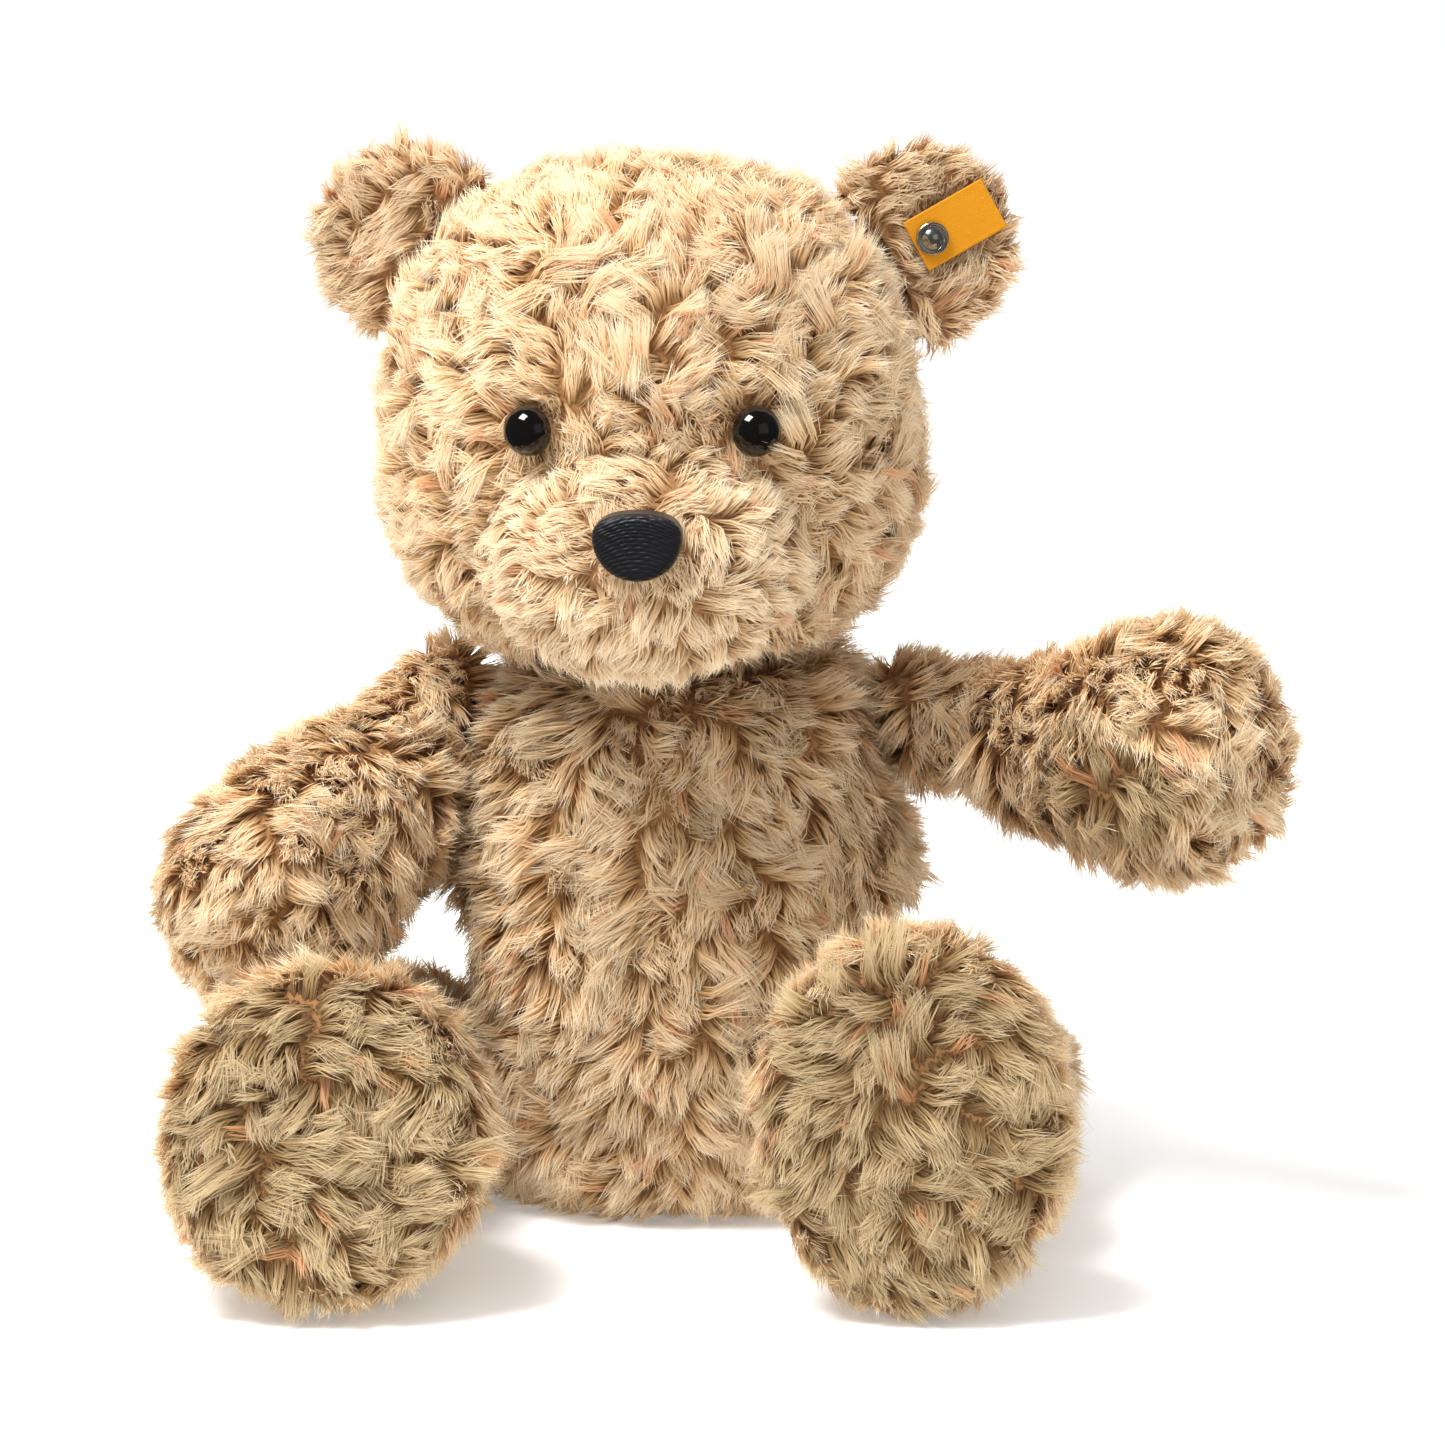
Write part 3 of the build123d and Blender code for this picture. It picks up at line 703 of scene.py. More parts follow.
    def settle(self, piece: bpy.types.Object) -> None:
        """Brings the skin to an even depth under the outer face of its covers."""
        tree = tree_of(self.covers)
        shape = bmesh.new()
        shape.from_mesh(piece.data)
        shape.normal_update()
        shape.verts.ensure_lookup_table()
        shift = []
        for corner in shape.verts:
            outside = corner.co + corner.normal * self.probe
            found = tree.ray_cast(outside, -corner.normal, self.probe)[3]
            gap = self.depth if found is None else self.probe - found
            shift.append(min(self.shift_most, max(self.shift_least, gap - self.depth)))
        for _ in range(3):
            around = [[shift[e.other_vert(c).index] for e in c.link_edges] for c in shape.verts]
            shift = [0.5 * s + 0.5 * sum(near) / len(near) for s, near in zip(shift, around)]
        for corner, far in zip(shape.verts, shift):
            corner.co += corner.normal * far
        soften(shape, 0.4)
        write_back(shape, piece)

    def build(self) -> bpy.types.Object:
        """Makes the skin, blows it up, smooths it once and dresses it."""
        piece = self.blank()
        self.inflate(piece)
        self.settle(piece)
        round_off(piece)
        apply_modifiers(piece)
        piece.data.polygons.foreach_set("use_smooth", [True] * len(piece.data.polygons))
        piece.data.materials.clear()
        piece.data.materials.append(GAP_SHADE_BACKING.material())
        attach(piece, self.body.value)
        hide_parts(self.filling)
        log.info("skin %s: %d faces", piece.name, len(piece.data.polygons))
        return piece


# ---------------------------------------------------------------- plush pile


@dataclass
class Pile:
    """How the hair of one panel grows."""

    length: float = 10.5 * MM
    per_mm2: float = 2.3
    lean: float = 42.0
    wander: float = 38.0
    tuft: float = 8.0 * MM
    lock: float = 2.0 * MM
    gather: float = 0.55
    curl: float = 0.35
    droop: float = 0.25
    width: float = 0.46 * MM
    tone: float = 0.5
    tone_spread: float = 0.15
    rust: float = 0.03
    uneven: float = 0.25


@dataclass
class Obstacle:
    """Something the pile has to stay short of."""

    tree: BVHTree
    margin: float
    fade: float = 7.0 * MM
    reach: float = 22.0 * MM
    joint: bool = False

    def share(self, points: np.ndarray) -> np.ndarray:
        """The share of its length that hair at each point may keep."""
        gaps = gaps_to(self.tree, points, self.reach)
        return np.clip((gaps - self.margin) / self.fade, 0, 1)


@dataclass
class Ground:
    """A skin as arrays: where hair can grow and which panel each face belongs to."""

    corners: np.ndarray
    normals: np.ndarray
    faces: np.ndarray
    panel: np.ndarray
    seam: np.ndarray

    @classmethod
    def of(cls, piece: bpy.types.Object, covers: tuple[str, ...]) -> "Ground":
        """Reads a skin and finds the nearest cover panel of each face.

        Args:
            piece: The finished skin.
            covers: CAD nodes of the panels over it.

        Returns:
            The skin as arrays.
        """
        mesh = piece.data
        mesh.calc_loop_triangles()
        corners = np.empty(len(mesh.vertices) * 3, np.float32)
        mesh.vertices.foreach_get("co", corners)
        normals = np.empty(len(mesh.vertices) * 3, np.float32)
        mesh.vertices.foreach_get("normal", normals)
        faces = np.empty(len(mesh.loop_triangles) * 3, np.int32)
        mesh.loop_triangles.foreach_get("vertices", faces)
        corners = corners.reshape(-1, 3).astype(float)
        faces = faces.reshape(-1, 3)
        gaps = np.stack([gaps_to(tree_of((name,)), corners, 0.09) for name in covers])
        order = np.sort(gaps, axis=0)
        seam = order[1] - order[0] if len(covers) > 1 else np.full(len(corners), 0.05)
        panel = np.argmin(gaps[:, faces].mean(2), axis=0)
        return cls(corners, normals.reshape(-1, 3).astype(float), faces, panel, seam)

    def scatter(
        self, panel: int, per_mm2: float, rng: np.random.Generator
    ) -> tuple[np.ndarray, np.ndarray, np.ndarray]:
        """Random roots over one panel.

        Args:
            panel: The panel's number among the covers.
            per_mm2: Hairs on a square millimetre.
            rng: The source of chance.

        Returns:
            Places, normals and distances to the nearest seam.
        """
        faces = self.faces[self.panel == panel]
        if not len(faces):
            return np.zeros((0, 3)), np.zeros((0, 3)), np.zeros(0)
        a, b, c = (self.corners[faces[:, i]] for i in range(3))
        area = 0.5 * np.linalg.norm(np.cross(b - a, c - a), axis=1)
        count = int(area.sum() / MM**2 * per_mm2)
        pick = rng.choice(len(faces), size=count, p=area / area.sum())
        u, v = rng.random(count), rng.random(count)
        over = u + v > 1
        u[over], v[over] = 1 - u[over], 1 - v[over]
        share = np.stack([1 - u - v, u, v], axis=1)[:, :, None]
        chosen = faces[pick]
        points = (self.corners[chosen] * share).sum(1)
        normals = unit((self.normals[chosen] * share).sum(1))
        seam = (self.seam[chosen] * share[:, :, 0]).sum(1)
        return points, normals, seam


def spread_out(points: np.ndarray, spacing: float) -> np.ndarray:
    """Picks points that stand at least a spacing apart.

    Args:
        points: Candidates, in random order.
        spacing: The least distance, in metres.

    Returns:
        The numbers of the picked points.
    """
    taken: dict[tuple[int, int, int], list[int]] = {}
    cells = np.floor(points / spacing).astype(int).tolist()
    steps = [(x, y, z) for x in (-1, 0, 1) for y in (-1, 0, 1) for z in (-1, 0, 1)]
    picked = []
    rows = points.tolist()
    least = spacing * spacing
    for index, (cell, row) in enumerate(zip(cells, rows)):
        near = False
        for step in steps:
            for other in taken.get((cell[0] + step[0], cell[1] + step[1], cell[2] + step[2]), ()):
                place_of = rows[other]
                gap = sum((row[i] - place_of[i]) ** 2 for i in range(3))
                if gap < least:
                    near = True
                    break
            if near:
                break
        if not near:
            picked.append(index)
            taken.setdefault(tuple(cell), []).append(index)
    return np.array(picked, int)


def nearest(points: np.ndarray, centres: np.ndarray) -> np.ndarray:
    """The number of the nearest centre to each point."""
    tree = KDTree(len(centres))
    for index, centre in enumerate(centres.tolist()):
        tree.insert(centre, index)
    tree.balance()
    return np.array([tree.find(point)[1] for point in points.tolist()], int)


class HairBlank:
    """One flat hair, cut by mesh operators, which the coat repeats."""

    def __init__(self, rows: int = 2) -> None:
        """Cuts the blank: a narrow strip that tapers to a point.

        Args:
            rows: How many pieces the hair bends in.
        """
        shape = bmesh.new()
        bmesh.ops.create_grid(shape, x_segments=1, y_segments=rows, size=0.5)
        tip = [corner for corner in shape.verts if corner.co.y > 0.499]
        bmesh.ops.pointmerge(shape, verts=tip, merge_co=(0, 0.5, 0))
        for corner in shape.verts:
            corner.co.x *= 1.0 if corner.co.y < 0.0 else 0.8
        bmesh.ops.recalc_face_normals(shape, faces=shape.faces)
        if sum(face.normal.z for face in shape.faces) < 0:
            bmesh.ops.reverse_faces(shape, faces=shape.faces)
        shape.verts.index_update()
        self.across = np.array([corner.co.x for corner in shape.verts])
        self.along = np.array([corner.co.y + 0.5 for corner in shape.verts])
        self.row = np.rint(self.along * rows).astype(int)
        self.rows = rows
        self.faces = [[corner.index for corner in face.verts] for face in shape.faces]
        shape.free()


@dataclass
class Coat:
    """The laid pile of one cover panel, as one piece."""

    name: str
    body: Body
    panel: str
    ground: Ground
    number: int
    pile: Pile
    flow: Field
    finish: PlushFinish
    slot: str
    obstacles: tuple[Obstacle, ...]
    seed: int
    floor: float = 0.4 * MM
    trim: Optional[Field] = None
    hairs: int = field(default=0, init=False)

    def turned(self, ways: np.ndarray, normals: np.ndarray, angles: np.ndarray) -> np.ndarray:
        """Ways turned about their normals by angles in radians."""
        side = np.cross(normals, ways)
        return ways * np.cos(angles)[:, None] + side * np.sin(angles)[:, None]

    def path(
        self, ways: np.ndarray, normals: np.ndarray, length: np.ndarray,
        lean: np.ndarray, curl: np.ndarray, steps: np.ndarray,
    ) -> np.ndarray:
        """How far a hair has gone from its root at each step.

        Args:
            ways: The way each hair leans along the skin.
            normals: The skin's normals.
            length: Hair lengths, in metres.
            lean: Angles above the skin, in radians.
            curl: Sideways bends.
            steps: Shares of the length, from 0 at the root to 1.

        Returns:
            An array of hair, step and coordinate.
        """
        side = np.cross(normals, ways)
        t = steps[None, :, None]
        ahead = ways[:, None, :] * (np.cos(lean)[:, None, None] * t)
        up = normals[:, None, :] * (
            np.sin(lean)[:, None, None] * t - self.pile.droop * t * t
        )
        bend = side[:, None, :] * (curl[:, None, None] * t * t)
        return (ahead + up + bend) * length[:, None, None]

    def build(self, blank: HairBlank) -> Optional[bpy.types.Object]:
        """Lays the pile and returns the piece, or None where the panel grows none."""
        pile = self.pile
        rng = np.random.default_rng(self.seed)
        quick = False
        roots, normals, seam = self.ground.scatter(
            self.number, pile.per_mm2 * (0.4 if quick else 1.0), rng
        )
        if len(roots) < 50:
            return None
        # share shortens hair near obstacles and seams, and through the ramp map below it also
        # darkens that hair as painted shade.
        share = np.ones(len(roots))
        for obstacle in self.obstacles:
            share = np.minimum(share, obstacle.share(roots))
        if self.trim is not None:
            share = share * self.trim(roots, normals)
        share *= 0.78 + 0.22 * np.clip(seam / (4 * MM), 0, 1)
        keep = share > 0.15
        roots, normals, share, seam = roots[keep], normals[keep], share[keep], seam[keep]
        locks = spread_out(roots[: int(len(roots) * (0.5 if quick else 0.35))], pile.lock)
        tufts = locks[spread_out(roots[locks], pile.tuft)]
        if len(tufts) < 3:
            return None
        lock_of = nearest(roots, roots[locks])
        tuft_of = nearest(roots[locks], roots[tufts])
        steps = np.linspace(0, 1, blank.rows + 1)

        wander = math.radians(pile.wander)
        tuft_way = level_with(self.flow(roots[tufts], normals[tufts]), normals[tufts])
        swirl = ripple(roots[tufts], 45 * MM, self.seed + 7) * 0.5
        tuft_way = self.turned(
            tuft_way, normals[tufts], (rng.normal(size=len(tufts)) * 0.75 + swirl) * wander
        )
        tuft_long = pile.length * (1 + pile.uneven * rng.uniform(-1, 1, len(tufts)))
        rise = np.zeros(len(tufts))
        for obstacle in self.obstacles:
            if obstacle.joint:
                gaps = gaps_to(obstacle.tree, roots[tufts], 20 * MM)
                rise = np.maximum(rise, np.clip((20 * MM - gaps) / (13 * MM), 0, 1))
        tuft_lean = np.radians(
            pile.lean + (58 - pile.lean) * rise + rng.normal(size=len(tufts)) * 9
        )
        tuft_curl = rng.normal(size=len(tufts)) * pile.curl

        lock_way = level_with(tuft_way[tuft_of], normals[locks])
        lock_way = self.turned(lock_way, normals[locks], rng.normal(size=len(locks)) * 0.22)
        lock_long = tuft_long[tuft_of] * (1 + 0.16 * rng.uniform(-1, 1, len(locks)))
        lock_lean = tuft_lean[tuft_of] + rng.normal(size=len(locks)) * 0.12
        lock_curl = tuft_curl[tuft_of] + rng.normal(size=len(locks)) * 0.12
        lock_path = self.path(
            lock_way, normals[locks], lock_long, lock_lean, lock_curl, steps
        )
        drawn = pile.gather * steps**1.3
        offset = roots[locks] - roots[tufts][tuft_of]
        lock_path = lock_path - offset[:, None, :] * drawn[None, :, None]

        own = roots - roots[locks][lock_of]
        hair = lock_path[lock_of] - own[:, None, :] * (0.36 * steps**1.5)[None, :, None]
        hair *= (share * rng.uniform(0.82, 1.1, len(roots)))[:, None, None]
        stray = rng.normal(size=(len(roots), 3)) * 0.095
        hair += stray[:, None, :] * (steps**1.5)[None, :, None] * pile.length
        spine = roots[:, None, :] + hair
        self.press(spine, rng)
        return self.woven(blank, spine, normals, share, tuft_of[lock_of], lock_of, rng, quick)

    def press(self, spine: np.ndarray, rng: np.random.Generator) -> None:
        """Flattens hair that would go through the ground the bear sits on."""
        low = spine[:, :, 2] < self.floor
        spine[:, :, 2][low] = self.floor * rng.uniform(0.5, 1.0, int(low.sum()))

    def woven(
        self, blank: HairBlank, spine: np.ndarray, normals: np.ndarray, share: np.ndarray,
        tuft_of: np.ndarray, lock_of: np.ndarray, rng: np.random.Generator, quick: bool,
    ) -> bpy.types.Object:
        """Turns the hair paths into one mesh of repeated blanks.

        Args:
            blank: The hair blank.
            spine: Hair, step and coordinate.
            normals: The skin's normals at the roots.
            share: How much of the full length each hair keeps.
            tuft_of: The tuft of each hair.
            lock_of: The lock of each hair.
            rng: The source of chance.
            quick: Whether fewer and wider hairs are laid.

        Returns:
            The finished piece.
        """
        pile = self.pile
        count = len(spine)
        heading = unit(np.gradient(spine, axis=1))
        facing = np.repeat(normals[:, None, :], blank.rows + 1, axis=1)
        side = unit(np.cross(heading, facing) + 1e-6)
        roll = (rng.normal(size=count) * 0.4)[:, None, None]
        side = unit(side * np.cos(roll) + np.cross(heading, side) * np.sin(roll))
        broad = pile.width * (1.6 if quick else 1.0) * rng.uniform(0.7, 1.25, count)
        row = blank.row
        points = spine[:, row, :] + side[:, row, :] * (
            blank.across[None, :] * broad[:, None]
        )[:, :, None]
        flat = unit(np.cross(side, heading))
        lying = np.clip(np.sum(flat * facing, axis=2, keepdims=True), 0, 1)
        shade = unit(flat + 1.3 * lying * facing + 0.10 * rng.normal(size=(count, 1, 3)))
        shade = shade[:, row, :]

        per = len(row)
        mesh = bpy.data.meshes.new(self.name)
        mesh.vertices.add(count * per)
        mesh.vertices.foreach_set("co", points.astype(np.float32).ravel())
        sizes = np.array([len(face) for face in blank.faces])
        pattern = np.concatenate([np.array(face) for face in blank.faces])
        loops = (pattern[None, :] + (np.arange(count) * per)[:, None]).ravel()
        starts = np.concatenate([[0], np.cumsum(sizes)[:-1]])
        starts = (starts[None, :] + (np.arange(count) * len(pattern))[:, None]).ravel()
        mesh.loops.add(len(loops))
        mesh.loops.foreach_set("vertex_index", loops.astype(np.int32))
        mesh.polygons.add(len(starts))
        mesh.polygons.foreach_set("loop_start", starts.astype(np.int32))
        mesh.polygons.foreach_set("use_smooth", np.ones(len(starts), bool))

        tuft_tone = rng.normal(size=tuft_of.max() + 1) * 0.6
        lock_tone = rng.normal(size=lock_of.max() + 1) * 0.5
        tone = (
            pile.tone
            + pile.tone_spread
            * (tuft_tone[tuft_of] + lock_tone[lock_of] + 0.35 * rng.normal(size=count))
            + 0.10 * ripple(spine[:, 0, :], 38 * MM, self.seed + 3)
        )
        tone = np.clip(tone, 0.03, 0.86)
        rusty = (rng.random(lock_of.max() + 1) < pile.rust)[lock_of]
        tone[rusty] = 0.96
        # Hair cut short by share stops low on the root-to-tip ramp and stays dark: painted shade
        # in the creases at joints, seams, eyes, nose and where bodies meet.
        up = blank.along[None, :] * (0.62 + 0.38 * share)[:, None]
        u = tone[:, None] + 0.025 * blank.across[None, :]
        uv = np.stack([np.clip(u, 0, 1), np.clip(up, 0, 0.995)], axis=2).reshape(-1, 2)
        layer = mesh.uv_layers.new(name="OFBake", do_init=False)
        layer.data.foreach_set("uv", uv[loops].astype(np.float32).ravel())
        custom = mesh.attributes.new("custom_normal", "FLOAT_VECTOR", "POINT")
        custom.data.foreach_set("vector", shade.astype(np.float32).ravel())
        mesh.materials.append(self.finish.material())
        mesh.update()

        piece = bpy.data.objects.new(self.name, mesh)
        bpy.context.scene.collection.objects.link(piece)
        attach(piece, self.body.value)
        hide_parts(self.panel)
        self.hairs = count
        log.info("coat %s: %d hairs", self.name, count)
        return piece


# ---------------------------------------------------------------- the bear


COVERS: dict[Body, tuple[str, ...]] = {
    Body.TORSO: ("torso_left_panel", "torso_right_panel"),
    Body.HEAD: (
        "head_left_panel", "head_right_panel", "head_gusset", "muzzle_panel",
        "ear_left_front", "ear_left_back", "ear_right_front", "ear_right_back",
    ),
    Body.ARM_LEFT: ("arm_left_outer", "arm_left_inner", "paw_pad_left"),
    Body.ARM_RIGHT: ("arm_right_outer", "arm_right_inner", "paw_pad_right"),
    Body.LEG_LEFT: ("leg_left_outer", "leg_left_inner", "sole_left"),
    Body.LEG_RIGHT: ("leg_right_outer", "leg_right_inner", "sole_right"),
}


class Surroundings:
    """Search trees over the covers of each body, made once."""

    def __init__(self) -> None:
        """Builds one tree for each body."""
        self.trees = {body: tree_of(names) for body, names in COVERS.items()}

    def others(self, body: Body) -> tuple[Obstacle, ...]:
        """The covers of the bodies that a body's pile has to stay clear of."""
        rivals = [b for b in Body if b != body and (b == Body.TORSO or body == Body.TORSO)]
        limbs = [b for b in Body if b not in (body, Body.TORSO) and body != Body.TORSO]
        close = [Obstacle(self.trees[b], 2.6 * MM, 3.4 * MM, joint=True) for b in rivals]
        return tuple(close + [Obstacle(self.trees[b], 3.0 * MM, 4.5 * MM) for b in limbs])


@dataclass
class Torso:
    """The pear-shaped body with its centre seam down the front."""

    around: Surroundings
    blank: HairBlank
    pile: Pile = field(
        default_factory=lambda: Pile(
            length=11.4 * MM, per_mm2=1.92, width=0.5 * MM, lean=40.0, wander=30.0,
            tuft=6.8 * MM, gather=0.52,
            curl=0.34, droop=0.2, tone=0.46, tone_spread=0.17, uneven=0.28, rust=0.03,
        )
    )
    fan_from: float = 92.0 * MM

    def flow(self, points: np.ndarray, normals: np.ndarray) -> np.ndarray:
        """Down from the neck, fanning away from the front seam over the belly."""
        fan = np.clip((self.fan_from - points[:, 2]) / (45 * MM), 0, 1)
        blur = MM * (2 + 12 * fan)
        side = np.clip(points[:, 0] / blur, -1, 1)
        close = np.exp(-np.abs(points[:, 0]) / (34 * MM))
        out = side * (0.12 + 0.75 * fan * (0.35 + 0.65 * close))
        return np.stack([out, np.zeros_like(out), -np.ones_like(out)], axis=1)

    def parting(self, points: np.ndarray, normals: np.ndarray) -> np.ndarray:
        """Shorter hair along the seam, which closes over the belly."""
        near = np.exp(-((points[:, 0] / (3.0 * MM)) ** 2))
        open_share = np.clip((points[:, 2] - 55 * MM) / (45 * MM), 0, 1)
        return 1 - 0.6 * near * open_share

    def build(self) -> list[bpy.types.Object]:
        """Makes the torso's skin and its two coats."""
        covers = COVERS[Body.TORSO]
        skin = StuffedSkin(
            Body.TORSO, "torso_stuffing", covers,
            plugs=(
                ("neck_washer", "neck_lock_washer"),
                ("shoulder_washer_left", "shoulder_lock_washer_left"),
                ("shoulder_washer_right", "shoulder_lock_washer_right"),
                ("hip_washer_left", "hip_lock_washer_left"),
                ("hip_washer_right", "hip_lock_washer_right"),
            ),
        ).build()
        ground = Ground.of(skin, covers)
        made = [skin]
        for number, panel in enumerate(covers):
            made.append(
                Coat(
                    f"coat_{panel}", Body.TORSO, panel, ground, number, self.pile, self.flow,
                    PLUSH, "plush", self.around.others(Body.TORSO), 11 + number,
                    trim=self.parting,
                ).build(self.blank)
            )
        return [piece for piece in made if piece]


@dataclass
class Limb:
    """What an arm and a leg share."""

    side: Side
    around: Surroundings
    blank: HairBlank

    def coats(
        self,
        body: Body,
        skin: bpy.types.Object,
        plan: dict[str, tuple[Pile, Field, PlushFinish, str]],
        seed: int,
    ) -> list[bpy.types.Object]:
        """Lays each panel's coat.

        Args:
            body: The limb's body.
            skin: The limb's finished skin.
            plan: Each panel's pile, flow, finish and material slot.
            seed: The first seed.

        Returns:
            The laid coats.
        """
        covers = COVERS[body]
        ground = Ground.of(skin, covers)
        made = []
        for number, panel in enumerate(covers):
            pile, flow, finish, slot = plan[panel]
            made.append(
                Coat(
                    f"coat_{panel}", body, panel, ground, number, pile, flow, finish, slot,
                    self.around.others(body), seed + number,
                ).build(self.blank)
            )
        return [piece for piece in made if piece]


@dataclass
class Arm(Limb):
    """A tapered arm with a round paw."""

    # The arm pile's raised tone (0.54) is painted light: the arms are coloured lighter as if
    # strongly lit. The paw pads share it.
    pile: Pile = field(
        default_factory=lambda: Pile(
            length=10.8 * MM, lean=45.0, wander=50.0, tuft=5.8 * MM, tone=0.54,
        )
    )
    inner_pile: Pile = field(
        default_factory=lambda: Pile(length=12.4 * MM, lean=50.0, wander=50.0, tuft=6.2 * MM)
    )

    def build(self) -> list[bpy.types.Object]:
        """Makes the arm's skin and coats."""
        word = self.side.word
        body = Body(f"arm_{word}")
        skin = StuffedSkin(
            body, f"arm_{word}_stuffing", COVERS[body], plugs=((f"shoulder_disc_{word}",),)
        ).build()
        paw = node_points(f"paw_pad_{word}").mean(0)
        shoulder = node_points(f"shoulder_disc_{word}").mean(0)
        reach = unit((paw - shoulder)[None, :])[0]

        def along(points: np.ndarray, normals: np.ndarray) -> np.ndarray:
            """From the shoulder toward the paw, sinking a little."""
            return np.tile(reach * 0.8 + np.array([0, 0, -0.35]), (len(points), 1))

        def outward(points: np.ndarray, normals: np.ndarray) -> np.ndarray:
            """Away from the middle of the paw, sinking a little."""
            return unit(points - paw) + np.array([0, 0, -0.4])

        plan = {
            f"arm_{word}_outer": (self.pile, along, PLUSH, "plush"),
            f"arm_{word}_inner": (self.inner_pile, along, PLUSH, "plush"),
            f"paw_pad_{word}": (self.pile, outward, PAD_PLUSH_PAINTED_SHADE, "pad_plush"),
        }
        return [skin] + self.coats(body, skin, plan, 31 + 10 * self.side.value)


@dataclass
class Leg(Limb):
    """A short leg ending in a large oval sole."""

    pile: Pile = field(
        default_factory=lambda: Pile(length=11.2 * MM, lean=47.0, wander=50.0, tuft=6.0 * MM)
    )
    sole_pile: Pile = field(
        default_factory=lambda: Pile(
            length=11.0 * MM, lean=38.0, wander=42.0, tuft=6.4 * MM, tone=0.44, curl=0.45,
        )
    )

    def build(self) -> list[bpy.types.Object]:
        """Makes the leg's skin and coats."""
        word = self.side.word
        body = Body(f"leg_{word}")
        skin = StuffedSkin(
            body, f"leg_{word}_stuffing", COVERS[body], plugs=((f"hip_disc_{word}",),)
        ).build()
        sole = node_points(f"sole_{word}").mean(0)

        def forward(points: np.ndarray, normals: np.ndarray) -> np.ndarray:
            """Toward the sole, and down the sides."""
            return np.tile(np.array([0, -0.8, -0.5]), (len(points), 1))

        def fanned(points: np.ndarray, normals: np.ndarray) -> np.ndarray:
            """Down over the sole, fanning out from its upper middle."""
            away = points - (sole + np.array([0, 0, 14 * MM]))
            away[:, 1] = 0
            return unit(away) * 0.8 + np.array([0, 0, -0.75])

        plan = {
            f"leg_{word}_outer": (self.pile, forward, PLUSH, "plush"),
            f"leg_{word}_inner": (self.pile, forward, PLUSH, "plush"),
            f"sole_{word}": (self.sole_pile, fanned, PAD_PLUSH_PAINTED_SHADE, "pad_plush"),
        }
        return [skin] + self.coats(body, skin, plan, 61 + 10 * self.side.value)


@dataclass
class Head:
    """The round head with its muzzle."""

    around: Surroundings
    blank: HairBlank
    pile: Pile = field(
        default_factory=lambda: Pile(
            length=10.9 * MM, lean=50.0, wander=62.0, tuft=5.6 * MM, lock=1.8 * MM, gather=0.6,
            curl=0.5, droop=0.3, tone=0.54, tone_spread=0.17, rust=0.045,
        )
    )
    muzzle_pile: Pile = field(
        default_factory=lambda: Pile(
            length=9.0 * MM, lean=44.0, wander=38.0, tuft=6.0 * MM, tone=0.58, rust=0.02,
        )
    )

    def build(self) -> list[bpy.types.Object]:
        """Makes the head's skin and its four coats."""
        covers = COVERS[Body.HEAD][:4]
        skin = StuffedSkin(
            Body.HEAD, "head_stuffing", covers,
            plugs=(("neck_disc",), ("eye_washer_left", "eye_washer_left"),
                   ("eye_washer_right", "eye_washer_right")),
        ).build()
        nose = node_points("nose_stitching").mean(0)
        eyes = [node_points(f"eye_{side.word}").mean(0) for side in Side]

        def away(points: np.ndarray, normals: np.ndarray) -> np.ndarray:
            """Away from the nose, and away from each eye close by."""
            ways = unit(points - nose) + np.array([0, 0, -0.15])
            for eye in eyes:
                gap = points - eye
                near = np.exp(-((np.linalg.norm(gap, axis=1) / (13 * MM)) ** 2))
                ways = ways * (1 - near[:, None]) + unit(gap) * 1.4 * near[:, None]
            return ways

        features = (
            Obstacle(tree_of(("eye_left", "eye_right")), 1.6 * MM, 4.2 * MM),
            Obstacle(tree_of(("nose_stitching",)), 2.0 * MM, 5.0 * MM),
        )
        ears = (Obstacle(tree_of(COVERS[Body.HEAD][4:]), 3.0 * MM, 4.0 * MM),)
        ground = Ground.of(skin, covers)
        made = [skin]
        for number, panel in enumerate(covers):
            muzzle = panel == "muzzle_panel"
            made.append(
                Coat(
                    f"coat_{panel}", Body.HEAD, panel, ground, number,
                    self.muzzle_pile if muzzle else self.pile, away,
                    MUZZLE_PLUSH if muzzle else PLUSH,
                    "muzzle_plush" if muzzle else "plush",
                    self.around.others(Body.HEAD) + features + ears, 91 + number,
                ).build(self.blank)
            )
        return [piece for piece in made if piece]


